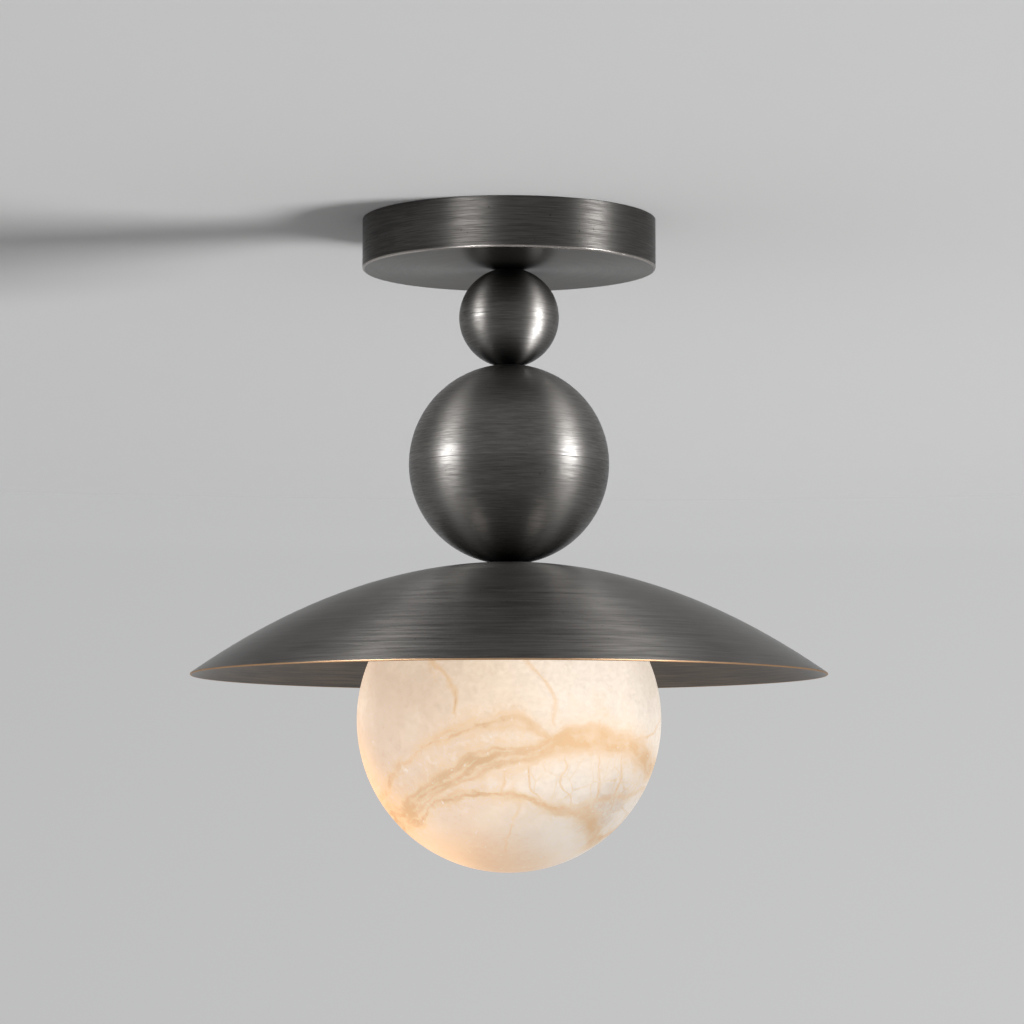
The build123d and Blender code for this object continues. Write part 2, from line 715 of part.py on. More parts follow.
with BuildPart() as terminal_block_screws:
    block_screw_seat = Plane((0, block_middle, bracket_bottom - block_lug_height))
    with BuildSketch(block_screw_seat):
        with GridLocations(block_screw_spacing, 0, 2, 1):
            Circle(block_screw_diameter / 2 - thread_fit)
    extrude(amount=block_lug_height + bracket_thickness)
    with BuildSketch(block_screw_seat):
        with GridLocations(block_screw_spacing, 0, 2, 1):
            Circle(block_screw_head / 2)
    extrude(amount=-block_screw_head_height)
    with BuildSketch(block_screw_seat.offset(-block_screw_head_height)):
        with GridLocations(block_screw_spacing, 0, 2, 1):
            Rectangle(block_screw_head, screw_slot_width)
    extrude(amount=screw_slot_depth, mode=Mode.SUBTRACT)


# Earth ring terminal: a ring under the canopy nut with a tongue and a crimp for the earth lead
crimp_radius = lead_radius + crimp_wall
crimp_level = ring_terminal_bottom + crimp_radius

with BuildPart() as earth_ring_terminal:
    with BuildSketch(Plane.XY.offset(ring_terminal_bottom)):
        Circle(stem_hole_radius + ring_terminal_land)
        Rectangle(ring_terminal_tongue, crimp_reach + crimp_length, align=(Align.CENTER, Align.MIN))
        Circle(stem_hole_radius, mode=Mode.SUBTRACT)
    extrude(amount=ring_terminal_thickness)
    with BuildSketch(Plane((0, crimp_reach, crimp_level), x_dir=(1, 0, 0), z_dir=(0, 1, 0))):
        Circle(crimp_radius)
    extrude(amount=crimp_length)
    with BuildSketch(Plane((0, crimp_reach, crimp_level), x_dir=(1, 0, 0), z_dir=(0, 1, 0))):
        Circle(lead_radius + bushing_fit)
    extrude(amount=crimp_length, mode=Mode.SUBTRACT)


# Leads: two from the lamp holder up the stem to the terminal block, and one to earth
def lead(points, radii):
    """A round insulated wire along straight runs joined by arcs."""
    with BuildPart() as wire:
        with BuildLine() as route:
            FilletPolyline(*points, radius=radii)
        with BuildSketch(Plane(route.line @ 0, z_dir=route.line % 0)):
            Circle(lead_radius)
        sweep()
    return wire.part


def supply_lead(side):
    """The lead on one side of the stem: side is +1 or -1 along X."""
    pin = side * pin_spacing / 2
    inside = side * lead_offset
    pole = side * (pole_count - 1) / 2 * pole_pitch
    splay = holder_drop / 5
    points = [
        (pin, 0, lead_end),
        (pin, 0, holder_top + splay),
        (inside, 0, stem_bottom - bushing_flange - splay),
        (inside, 0, lead_level),
        (inside, block_setback / 2, lead_level),
        (pole, block_setback - 2 * lead_diameter, lead_level),
        (pole, block_setback + clamp_screw_inset - clamp_screw_diameter, lead_level),
    ]
    tight = 2 * lead_diameter
    return lead(points, [tight, tight, 2.5 * lead_diameter, tight, tight])


live_lead = supply_lead(1)
neutral_lead = supply_lead(-1)
earth_lead = lead(
    [
        (0, crimp_reach, crimp_level),
        (0, crimp_reach + crimp_length + lead_diameter, crimp_level),
        (0, block_setback - 2 * lead_diameter, lead_level),
        (0, block_setback + clamp_screw_inset - clamp_screw_diameter, lead_level),
    ],
    [lead_diameter, lead_diameter],
)


# Every piece is written as its own solid or group of like solids
pieces = {
    "mounting_bracket": mounting_bracket.part,
    "earth_screw": earth_screw.part,
    "canopy": canopy.part,
    "canopy_set_screws": canopy_set_screws.part,
    "canopy_lock_washer": canopy_lock_washer,
    "earth_ring_terminal": earth_ring_terminal.part,
    "canopy_nut": canopy_nut,
    "stem_tube": stem_tube.part,
    "stem_top_bushing": stem_top_bushing,
    "stem_bottom_bushing": stem_bottom_bushing,
    "small_ball_upper_half": small_ball_upper_half,
    "small_ball_lower_half": small_ball_lower_half,
    "large_ball_upper_half": large_ball_upper_half,
    "large_ball_lower_half": large_ball_lower_half,
    "shade": shade.part,
    "globe_fitter": globe_fitter.part,
    "fitter_lock_washer": fitter_lock_washer,
    "fitter_nut": fitter_nut,
    "holder_strap": holder_strap.part,
    "holder_body": holder_body.part,
    "holder_contacts": holder_contacts.part,
    "holder_screws": holder_screws.part,
    "bulb_base": bulb_base.part,
    "bulb_pins": bulb_pins.part,
    "bulb_led_board": bulb_led_board.part,
    "bulb_cover": bulb_cover.part,
    "globe": globe.part,
    "globe_collar": globe_collar.part,
    "globe_seal": globe_seal.part,
    "terminal_block": terminal_block.part,
    "terminal_barrels": terminal_barrels.part,
    "terminal_clamp_screws": terminal_clamp_screws.part,
    "terminal_block_screws": terminal_block_screws.part,
    "live_lead": live_lead,
    "neutral_lead": neutral_lead,
    "earth_lead": earth_lead,
}

os.makedirs("parts", exist_ok=True)
for name, piece in pieces.items():
    piece.label = name
    export_step(piece, f"parts/{name}.step")
print("globe thread travel", round(thread_travel, 3), "globe centre", round(globe_centre, 3))
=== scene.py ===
"""Looks of the flush mount ceiling light: finishes, fine detail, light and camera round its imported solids."""
import json
import math

import bpy
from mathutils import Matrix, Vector


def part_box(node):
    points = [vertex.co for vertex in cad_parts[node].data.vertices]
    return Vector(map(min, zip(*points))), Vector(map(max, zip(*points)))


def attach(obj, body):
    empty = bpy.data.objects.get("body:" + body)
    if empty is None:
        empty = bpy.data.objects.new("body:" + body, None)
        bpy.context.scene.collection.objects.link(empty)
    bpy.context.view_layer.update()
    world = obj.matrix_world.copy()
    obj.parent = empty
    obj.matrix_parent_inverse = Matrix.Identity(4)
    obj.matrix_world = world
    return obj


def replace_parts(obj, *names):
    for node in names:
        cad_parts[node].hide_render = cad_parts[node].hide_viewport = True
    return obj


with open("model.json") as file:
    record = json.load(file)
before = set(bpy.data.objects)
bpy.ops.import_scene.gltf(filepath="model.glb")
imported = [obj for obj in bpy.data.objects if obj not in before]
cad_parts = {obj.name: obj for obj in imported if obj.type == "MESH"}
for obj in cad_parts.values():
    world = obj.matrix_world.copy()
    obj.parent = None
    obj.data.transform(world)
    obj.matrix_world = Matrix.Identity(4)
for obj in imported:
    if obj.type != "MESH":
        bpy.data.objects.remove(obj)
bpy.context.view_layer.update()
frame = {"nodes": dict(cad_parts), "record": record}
nodes = frame["nodes"]

# Sizes read from the solids, in metres
canopy_low, canopy_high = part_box("canopy")
canopy_radius = canopy_high.x
shade_low, shade_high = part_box("shade")
shade_radius = shade_high.x
globe_low, globe_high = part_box("globe")
globe_radius = globe_high.x
globe_centre = globe_low.z + globe_radius
large_ball_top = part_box("large_ball_upper_half")[1].z
seam_level = large_ball_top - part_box("large_ball_upper_half")[1].x

# Joints on the axis where one piece rests on the next: their heights, and how far the painted shade spreads
# from each, a darkening of the metal that stands in for contact shadow
PAINTED_SHADE_SPREAD = 0.037
LAMPSHADE_PAINTED_SHADE_SPREAD = 0.052
PAINTED_SHADE_CORE = 0.008
PAINTED_SHADE_SHARE = 0.96
painted_shade_joints = [(canopy_low.z, PAINTED_SHADE_SPREAD), (large_ball_top, PAINTED_SHADE_SPREAD), (shade_high.z, LAMPSHADE_PAINTED_SHADE_SPREAD)]

# Colours of the finishes, linear
METAL_DARK = (0.098, 0.093, 0.088, 1)
METAL_LIGHT = (0.192, 0.184, 0.175, 1)
# Bright tone of edges and rings: painted highlight and sheen, partly also wear
METAL_WORN_AND_SHEEN = (0.47, 0.440, 0.412, 1)
# Warmer tone under the shade: painted warm light from the globe
METAL_INSIDE_GLOW = (0.240, 0.192, 0.154, 1)
METAL_SPECK = (0.03, 0.028, 0.026, 1)
# Near black for the painted shade where pieces meet on the axis
METAL_PAINTED_SHADE = (0.02, 0.019, 0.018, 1)
# Tone of the shade's rim: a painted warm reflection of the globe's glow
RIM_GLOW_REFLECTION = (0.64, 0.405, 0.235, 1)
STONE_PALE = (0.83, 0.785, 0.728, 1)
STONE_CREAM = (0.80, 0.69, 0.57, 1)
STONE_GREY = (0.66, 0.57, 0.49, 1)
STONE_BLUSH = (0.74, 0.605, 0.50, 1)
STONE_WHITE = (0.85, 0.80, 0.75, 1)
STONE_FLECK = (0.93, 0.90, 0.86, 1)
VEIN_LIGHT = (0.75, 0.53, 0.325, 1)
VEIN_DARK = (0.61, 0.43, 0.265, 1)
GLOW_WARM = (1.0, 0.68, 0.36, 1)
GLOW_WHITE = (1.0, 0.92, 0.83, 1)
ZINC_DARK = (0.44, 0.45, 0.45, 1)
ZINC_LIGHT = (0.60, 0.60, 0.59, 1)
ZINC_STAIN = (0.50, 0.47, 0.40, 1)

# The range that most of a noise's values lie in
NOISE_RANGE = (0.3, 0.7)


# Node helpers
def add(tree, kind, values=None, **settings):
    """A shader node. Values set or link its inputs by name or place, and settings set its properties."""
    made = tree.nodes.new("ShaderNode" + kind)
    for name, value in settings.items():
        setattr(made, name, value)
    for key, value in (values or {}).items():
        if isinstance(value, bpy.types.NodeSocket):
            tree.links.new(value, made.inputs[key])
        else:
            made.inputs[key].default_value = value
    return made


def sums(tree, operation, *values):
    """The result of one Math node."""
    return add(tree, "Math", dict(enumerate(values)), operation=operation).outputs[0]


def times(tree, first, second):
    """Two values multiplied."""
    return sums(tree, "MULTIPLY", first, second)


def gap(tree, first, second):
    """How far two values are apart."""
    return sums(tree, "ABSOLUTE", sums(tree, "SUBTRACT", first, second))


def most(tree, *values):
    """The largest of several values."""
    largest = values[0]
    for value in values[1:]:
        largest = sums(tree, "MAXIMUM", largest, value)
    return largest


def vectors(tree, operation, first, second):
    """The vector that one Vector Math node makes."""
    return add(tree, "VectorMath", {0: first, 1: second}, operation=operation).outputs[0]


def scaled(tree, vector, scale):
    """A vector made longer or shorter."""
    return add(tree, "VectorMath", {0: vector, "Scale": scale}, operation="SCALE").outputs[0]


def measure(tree, operation, first, second=(0, 0, 0)):
    """The number that one Vector Math node makes."""
    return add(tree, "VectorMath", {0: first, 1: second}, operation=operation).outputs["Value"]


def object_place(tree):
    """The place on the piece, in metres."""
    return add(tree, "TexCoord").outputs["Object"]


def noise(tree, vector, scale, detail, roughness=0.5):
    """The grey value of a noise texture."""
    inputs = {"Vector": vector, "Scale": scale, "Detail": detail, "Roughness": roughness}
    return add(tree, "TexNoise", inputs).outputs["Fac"]


def cell_edges(tree, vector, scale):
    """The distance to the nearest edge between the cells of a Voronoi texture."""
    made = add(tree, "TexVoronoi", {"Vector": vector, "Scale": scale}, feature="DISTANCE_TO_EDGE")
    return made.outputs["Distance"]


def span(tree, value, low, high, to_low=0.0, to_high=1.0):
    """Value eased from one range to another."""
    ranges = {0: value, 1: low, 2: high, 3: to_low, 4: to_high}
    return add(tree, "MapRange", ranges, interpolation_type="SMOOTHSTEP").outputs[0]


def blend(tree, share, first, second, how="MIX"):
    """Two colours mixed by share."""
    made = add(tree, "Mix", data_type="RGBA", blend_type=how)
    for key, value in (("Factor_Float", share), ("A_Color", first), ("B_Color", second)):
        socket = next(s for s in made.inputs if s.identifier == key)
        if isinstance(value, bpy.types.NodeSocket):
            tree.links.new(value, socket)
        else:
            socket.default_value = value
    return next(s for s in made.outputs if s.identifier == "Result_Color")


def curve(tree, value, points):
    """Value carried through a smooth curve by its points, all from 0 to 1."""
    made = add(tree, "FloatCurve", {1: value})
    line = made.mapping.curves[0]
    line.points[0].location = points[0]
    line.points[-1].location = points[-1]
    for x, y in points[1:-1]:
        line.points.new(x, y)
    made.mapping.update()
    return made.outputs[0]


def new_material(name):
    """An empty material with a principled shader: the material, its tree and that shader."""
    material = bpy.data.materials.new(name)
    material.use_nodes = True
    return material, material.node_tree, material.node_tree.nodes["Principled BSDF"]


def relief(tree, shader, height, strength, distance):
    """Fine relief in a shader's surface."""
    bump = add(tree, "Bump", {"Height": height, "Strength": strength, "Distance": distance})
    tree.links.new(bump.outputs[0], shader.inputs["Normal"])


# Brushed metal: shares and ranges of its noises, and the normal's height on faces that are treated apart
CLOUD_SCALE = 26.0
SPECK_SCALE = 420.0
SPECK_RANGE = (0.74, 0.80)
SPECK_SHARE = 0.5
STROKE_RANGE = (0.36, 0.64)
FINE_SHARE = 0.75
STREAK_SHARE = 0.8
UPRIGHT = (0.35, 0.95)
LOOKING_DOWN = (-0.2, -0.5)
UNDERSIDE = (-0.7, -0.95)
UNDERSIDE_STROKES = 0.25
BRUSH_STRENGTH = 0.8
BRUSH_RELIEF = 0.00007
BRIGHT_EDGE_WIDTHS = (0.0008, 0.0016)
BRIGHT_EDGE_UNEVEN = 0.0006
BRIGHT_EDGE_SHARE = 0.95
LACQUER_ROUGHNESS = 0.27
ALONG_THE_STROKES = 0.25


def ring_noise(tree, stroke, across, detail):
    """Noise drawn out round the Z axis into strokes of that length and width; also the radius and height."""
    place = object_place(tree)
    parts = add(tree, "SeparateXYZ", {0: place})
    flat = add(tree, "CombineXYZ", {0: parts.outputs[0], 1: parts.outputs[1]}).outputs[0]
    radius = measure(tree, "LENGTH", flat)
    vector = vectors(tree, "MULTIPLY", place, (1 / stroke, 1 / stroke, 1 / across))
    outward = sums(tree, "DIVIDE", radius, across)
    inputs = {"Vector": vector, "W": outward, "Scale": 1.0, "Detail": detail, "Roughness": 0.6}
    strokes = add(tree, "TexNoise", inputs, noise_dimensions="4D").outputs["Fac"]
    return strokes, radius, parts.outputs[2]


def brushed_metal(name, grazing, edges=(), bright_edge_tone=METAL_WORN_AND_SHEEN, polished=0.12, bands=(), wall=1.0,
                  inside=0.0, under=0.0, stroke=0.007, across=0.0006, soft=0.18, gloss=0.43, vary=0.07,
                  drawn=0.67, lacquer=0.0):
    """Dark metal brushed round the Z axis.

    grazing tints what it mirrors at a flat angle. edges are (radius, height) of rims painted a bright tone, a
    painted highlight that is partly wear, and polished is how much smoother they are. bands are (height, reach,
    share) of rings painted a little lighter, a painted sheen and reflection. wall is the painted shade of
    upright faces, the factor their colour is multiplied by, inside the share of painted warm light from the
    globe on faces that look down, and under how much smoother a flat underside is. stroke and across are a
    brush stroke's length and width, and soft the spread of tone between the dark and light metal. gloss is the
    roughness, vary its swing from stroke to stroke, drawn the anisotropy and lacquer the weight of the clear
    coat.
    """
    material, tree, shader = new_material(name)
    place = object_place(tree)
    fine, radius, height = ring_noise(tree, stroke, across, 3.0)
    broad, _, _ = ring_noise(tree, 3 * stroke, 4 * across, 2.0)
    cloud = noise(tree, place, CLOUD_SCALE, 5.0)
    specks = noise(tree, place, SPECK_SCALE, 1.0)
    facing = add(tree, "SeparateXYZ", {0: add(tree, "NewGeometry").outputs["Normal"]}).outputs[2]
    streaks = sums(tree, "ADD", times(tree, fine, FINE_SHARE), times(tree, broad, 1 - FINE_SHARE))
    if under:
        calm = span(tree, facing, *UNDERSIDE, 1.0, UNDERSIDE_STROKES)
        streaks = sums(tree, "MULTIPLY_ADD", sums(tree, "SUBTRACT", streaks, 0.5), calm, 0.5)

    tone = sums(tree, "ADD", times(tree, streaks, STREAK_SHARE), times(tree, cloud, 1 - STREAK_SHARE))
    colour = blend(tree, span(tree, tone, 0.5 - soft, 0.5 + soft), METAL_DARK, METAL_LIGHT)
    colour = blend(tree, span(tree, specks, *SPECK_RANGE, 0.0, SPECK_SHARE), colour, METAL_SPECK)
    # Painted shade: upright faces are darkened
    if wall < 1.0:
        upright = span(tree, sums(tree, "ABSOLUTE", facing), *UPRIGHT, 1.0, 0.0)
        colour = blend(tree, upright, colour, blend(tree, 1.0, colour, (wall, wall, wall, 1), "MULTIPLY"))
    # Painted sheen: rings painted lighter, in place of highlight and reflection
    for band_height, reach, share in bands:
        off = gap(tree, height, band_height)
        colour = blend(tree, span(tree, off, 0.0, reach, share, 0.0), colour, METAL_WORN_AND_SHEEN)
    # Painted light: faces that look down take a warmer, lighter tone, as if lit by the globe
    if inside:
        inner = blend(tree, span(tree, tone, *NOISE_RANGE), METAL_DARK, METAL_INSIDE_GLOW)
        colour = blend(tree, span(tree, facing, *LOOKING_DOWN, 0.0, inside), colour, inner)
    # Painted shade: the metal darkens towards each joint on the axis, in place of contact shadow
    for joint, spread in painted_shade_joints:
        near = measure(tree, "DISTANCE", place, (0, 0, joint))
        colour = blend(tree, span(tree, near, PAINTED_SHADE_CORE, spread, PAINTED_SHADE_SHARE, 0.0), colour, METAL_PAINTED_SHADE)

    rough = span(tree, streaks, *STROKE_RANGE, gloss + vary, gloss - vary)
    if under:
        rough = sums(tree, "MULTIPLY_ADD", span(tree, facing, *UNDERSIDE), -under, rough)
    # Edges painted a bright tone: a painted highlight along the rim, partly also wear
    for edge_radius, edge_height in edges:
        off = sums(tree, "ADD", gap(tree, radius, edge_radius), gap(tree, height, edge_height))
        off = sums(tree, "ADD", off, times(tree, cloud, BRIGHT_EDGE_UNEVEN))
        bright_edge = span(tree, off, *BRIGHT_EDGE_WIDTHS, BRIGHT_EDGE_SHARE, 0.0)
        colour = blend(tree, bright_edge, colour, bright_edge_tone)
        rough = sums(tree, "MULTIPLY_ADD", bright_edge, -polished, rough)
    tree.links.new(colour, shader.inputs["Base Color"])
    tree.links.new(rough, shader.inputs["Roughness"])
    relief(tree, shader, streaks, BRUSH_STRENGTH, BRUSH_RELIEF)
    tangent = add(tree, "Tangent", direction_type="RADIAL", axis="Z")
    tree.links.new(tangent.outputs[0], shader.inputs["Tangent"])
    shader.inputs["Metallic"].default_value = 1.0
    shader.inputs["Specular Tint"].default_value = (grazing, grazing, grazing, 1)
    shader.inputs["Anisotropic"].default_value = drawn
    shader.inputs["Anisotropic Rotation"].default_value = ALONG_THE_STROKES
    shader.inputs["Coat Weight"].default_value = lacquer
    shader.inputs["Coat Roughness"].default_value = LACQUER_ROUGHNESS
    return material


# Alabaster: veins round the globe as (degrees from the front, height from -1 to 1), and their half widths
MAIN_BAND = [
    (-110, -0.60), (-72, -0.64), (-53, -0.577), (-40, -0.503), (-22, -0.379), (-14, -0.318), (-4, -0.274),
    (5, -0.262), (14, -0.211), (25, -0.159), (34, -0.138), (49, -0.177), (66, -0.266), (78, -0.326),
    (120, -0.05),
]
MAIN_WIDTHS = [
    (-72, 0.15), (-50, 0.14), (-30, 0.13), (-15, 0.15), (5, 0.16), (15, 0.165), (30, 0.175), (50, 0.165),
    (70, 0.15), (120, 0.08),
]
SECOND_BAND = [
    (-120, -0.45), (-72, -0.60), (-40, -0.53), (-33, -0.475), (-26, -0.435), (-19, -0.405), (-10, -0.36),
    (40, 0.05), (120, 0.2),
]
SECOND_WIDTHS = [(-72, 0.05), (-40, 0.05), (-15, 0.05), (0, 0.004), (20, 0.004), (120, 0.004)]
UPPER_ARC = [
    (-120, -0.30), (-75, -0.52), (-62, -0.46), (-53, -0.386), (-44, -0.299), (-30, -0.189), (-19, -0.103),
    (-9, -0.067), (2, -0.05), (10, -0.10), (17, -0.155), (60, -0.14), (120, 0.25),
]
UPPER_WIDTHS = [(-60, 0.05), (-35, 0.055), (-18, 0.11), (5, 0.09), (15, 0.06), (60, 0.02)]
LOWER_LINE = [
    (-120, -0.80), (-66, -0.678), (-46, -0.629), (-34, -0.554), (-26, -0.517), (-19, -0.495), (-10, -0.493),
    (7, -0.531), (16, -0.555), (26, -0.593), (36, -0.63), (47, -0.705), (57, -0.756), (62, -0.80),
    (120, -0.55),
]
LOWER_WIDTHS = [(-72, 0.08), (-35, 0.06), (0, 0.045), (30, 0.06), (45, 0.10), (60, 0.09), (120, 0.05)]
RIGHT_LINE = [
    (-120, 0.35), (-40, -0.56), (25, -0.555), (39, -0.560), (45, -0.527), (69, -0.484), (120, -0.42),
]
RIGHT_WIDTHS = [(-40, 0.004), (22, 0.006), (40, 0.04), (70, 0.04), (120, 0.03)]

# Veins round the globe: course, half widths, share of the stain, share of the line in it
ROUND_VEINS = [
    (MAIN_BAND, MAIN_WIDTHS, 1.0, 0.3),
    (SECOND_BAND, SECOND_WIDTHS, 0.8, 0.4),
    (UPPER_ARC, UPPER_WIDTHS, 0.8, 0.4),
    (LOWER_LINE, LOWER_WIDTHS, 0.95, 0.4),
    (RIGHT_LINE, RIGHT_WIDTHS, 0.6, 0.3),
]

# Veins down the globe: points of (height from -1 to 1, degrees from the front), width, share, lowest, highest
DOWN_VEINS = [
    ([(-1, -20), (-0.015, -20.3), (0.061, -19.6), (0.137, -20.5), (0.189, -22.7), (0.26, -25.3),
      (0.307, -28.7), (1, -45)], 0.036, 0.78, -0.04, 0.6),
    ([(-1, -29), (0.223, -29.2), (0.282, -30.9), (0.334, -31.8), (1, -40)], 0.022, 0.35, 0.16, 0.5),
    ([(-1, 17), (-0.079, 17), (0.01, 16.2), (0.124, 16), (0.212, 14.3), (0.263, 11.4), (0.327, 8.5), (1, -5)],
     0.032, 0.56, -0.12, 0.55),
    ([(-1, -3), (-0.808, -1.8), (-0.669, 1), (-0.581, 3.6), (1, 20)], 0.026, 0.5, -0.90, -0.50),
    ([(-1, -2.4), (-0.481, -2.4), (-0.356, -2.3), (1, -2)], 0.028, 0.8, -0.56, -0.22),
    ([(-1, 16), (-0.54, 15), (-0.47, 9.5), (-0.33, 7), (1, 7)], 0.026, 0.75, -0.62, -0.20),
    ([(-1, 30), (-0.54, 28), (-0.48, 21.5), (-0.42, 21), (-0.33, 23.4), (-0.25, 22.4), (1, 22)], 0.021, 0.72,
     -0.64, -0.12),
    ([(-1, 42), (-0.53, 40.4), (-0.377, 38.1), (-0.263, 36.5), (1, 36)], 0.021, 0.72, -0.68, -0.10),
    ([(-1, 54), (-0.50, 52.6), (-0.40, 51), (-0.30, 49.3), (1, 48)], 0.024, 0.72, -0.62, -0.12),
    ([(-1, 68), (-0.37, 66.8), (1, 66)], 0.028, 0.6, -0.58, -0.2),
    ([(-1, 150), (0, 140), (0.5, 120), (1, 110)], 0.05, 0.5, -0.5, 0.7),
    ([(-1, -130), (0, -150), (0.4, -135), (1, -120)], 0.04, 0.5, -0.4, 0.8),
]
LEAST_HALF_WIDTH = 0.003
VEIN_END = 0.08
STRANDS_ROUND = 24.0
STRANDS_ACROSS = 34.0
HALO_SHARE = 0.33

# Noises in the stone: how many waves go to the globe's radius, and sizes in radii
WAVE_SCALE = 3.6
WAVE_REACH = 0.16
GRAIN_SCALE = 9.0
CLOUDS_SCALE = 2.1
SUGAR_SCALE = 30.0
FLECK_SCALE = 34.0
WISP_SCALE = 7.0
GLINT_SCALE = 12.0
RIDGE_WIDTH = 0.03
PLATE_SCALES = (7.4, 7.4, 4.8)
PLATE_BEND = 0.35
WEB_SCALE = 13.0
CRACK_WIDTH = 0.06
SUGAR_STRENGTH = 0.08
SUGAR_RELIEF = 0.0002
STONE_SHINE = 0.4

# Painted light and shade in the glow: sides of the globe where it is painted stronger or weaker, as direction,
# where that starts, and by how much
PAINTED_GLOW_SIDES = [
    ((-1.0, 0.2, 0.0), 0.68, 0.3),
    ((-0.7, 0.0, -0.71), 0.74, 0.33),
    ((1.0, -0.1, 0.1), 0.8, -0.22),
    ((-0.45, -0.85, 0.25), 0.92, -0.06),
    ((-0.1, -0.45, -0.89), 0.75, 0.02),
    ((0.05, -0.9, -0.43), 0.8, -0.07),
    ((0.75, -0.3, -0.6), 0.88, -0.14),
]


class Stone:
    """The globe's surface: places on a ball of radius 1, noises in the stone, and lines drawn over it."""

    def __init__(self, tree):
        self.tree = tree

        # The place on the ball, straight and bent by waves in the stone, and the bent place's height and turn
        shift = vectors(tree, "ADD", object_place(tree), (0, 0, -globe_centre))
        self.ball = scaled(tree, shift, 1 / globe_radius)
        inputs = {"Vector": self.ball, "Scale": WAVE_SCALE, "Detail": 7.0, "Roughness": 0.56}
        waves = add(tree, "TexNoise", inputs).outputs["Color"]
        waves = vectors(tree, "SUBTRACT", waves, (0.5, 0.5, 0.5))
        self.bent = vectors(tree, "ADD", self.ball, scaled(tree, waves, WAVE_REACH))
        at = add(tree, "SeparateXYZ", {0: self.bent}).outputs
        self.level = at[2]
        angle = sums(tree, "ARCTAN2", at[0], times(tree, at[1], -1.0))
        self.turn = sums(tree, "MULTIPLY_ADD", angle, 1 / (2 * math.pi), 0.5)

        # Noises, how ragged the veins' edges are, and how far the veins part into strands on the left
        self.grain = noise(tree, self.ball, GRAIN_SCALE, 6.0, 0.68)
        self.clouds = noise(tree, self.ball, CLOUDS_SCALE, 5.0, 0.6)
        self.sugar = noise(tree, self.bent, SUGAR_SCALE, 5.0, 0.65)
        self.uneven = span(tree, self.grain, *NOISE_RANGE, 0.6, 1.6)
        self.parted = span(tree, self.turn, 0.47, 0.57, 0.6, 0.85)

    def course(self, points):
        """A height round the globe: points are (degrees from the front, height), closed at the back."""
        back = (points[0][1] + points[-1][1]) / 2
        closed = [(-180, back), *points, (180, back)]
        shares = [(degrees / 360 + 0.5, height / 2 + 0.5) for degrees, height in closed]
        return sums(self.tree, "MULTIPLY_ADD", curve(self.tree, self.turn, shares), 2.0, -1.0)

    def along(self, points, widths, share, line):
        """A vein that runs round the globe: a stain with a paler halo, and a thin line in it."""
        tree = self.tree
        off = sums(tree, "SUBTRACT", self.level, self.course(points))
        half = most(tree, self.course(widths), LEAST_HALF_WIDTH)
        wide = sums(tree, "DIVIDE", times(tree, sums(tree, "ABSOLUTE", off), self.uneven), half)
        run = {0: times(tree, self.turn, STRANDS_ROUND), 1: times(tree, off, STRANDS_ACROSS)}
        flow = noise(tree, add(tree, "CombineXYZ", run).outputs[0], 1.0, 4.0)
        strand = span(tree, flow, 0.32, 0.62, self.parted, 1.0)
        stain = times(tree, span(tree, wide, 0.15, 1.15, share, 0.0), strand)
        thin = span(tree, wide, 0.0, 0.3, line, 0.0)
        halo = span(tree, wide, 0.3, 2.1, HALO_SHARE * share, 0.0)
        return times(tree, most(tree, stain, thin, halo), span(tree, half, 0.004, 0.02))

    def down(self, points, width, share, low, high):
        """A vein that runs down the globe, between two heights."""
        tree = self.tree
        tall = sums(tree, "MULTIPLY_ADD", self.level, 0.5, 0.5)
        where = curve(tree, tall, [(height / 2 + 0.5, degrees / 360 + 0.5) for height, degrees in points])
        off = times(tree, gap(tree, self.turn, where), 2 * math.pi)
        line = span(tree, times(tree, off, self.uneven), 0.0, width, share, 0.0)
        foot = span(tree, self.level, low, low + VEIN_END)
        head = span(tree, self.level, high - VEIN_END, high, 1.0, 0.0)
        return times(tree, line, times(tree, foot, head))

    def towards(self, direction, low, high):
        """How far a place lies towards a side of the globe."""
        return span(self.tree, measure(self.tree, "DOT_PRODUCT", self.ball, direction), low, high)

    def ridges(self, scale):
        """Thin crooked lines, where a noise crosses its middle."""
        waves = noise(self.tree, self.bent, scale, 3.0, 0.55)
        return span(self.tree, gap(self.tree, waves, 0.5), 0.0, RIDGE_WIDTH, 1.0, 0.0)


def pale_plates(stone):
    """The pale plates below the main band: where they are, the edges of their cells, and their cracks."""
    tree = stone.tree
    below = span(tree, sums(tree, "SUBTRACT", stone.course(MAIN_BAND), stone.level), 0.02, 0.10)
    above = span(tree, sums(tree, "SUBTRACT", stone.level, stone.course(LOWER_LINE)), 0.0, 0.06)
    between = times(tree, below, above)
    plates = add(tree, "Mix", {"Factor": PLATE_BEND}, data_type="VECTOR")
    tree.links.new(stone.ball, plates.inputs[4])
    tree.links.new(stone.bent, plates.inputs[5])
    cells = cell_edges(tree, vectors(tree, "MULTIPLY", plates.outputs[1], PLATE_SCALES), 1.0)
    edges = span(tree, cells, 0.0, CRACK_WIDTH, 1.0, 0.0)
    cracks = times(tree, edges, span(tree, between, 0.0, 0.8, 0.0, 0.5))
    corner = stone.towards((0.62, -0.58, -0.53), 0.86, 1.0)
    crowd = sums(tree, "MULTIPLY_ADD", times(tree, between, corner), 0.45, 0.05)
    web_edges = span(tree, cell_edges(tree, stone.bent, WEB_SCALE), 0.0, CRACK_WIDTH, 1.0, 0.0)
    webs = times(tree, times(tree, web_edges, crowd), span(tree, stone.grain, 0.42, 0.6))
    return between, cells, most(tree, cracks, webs)


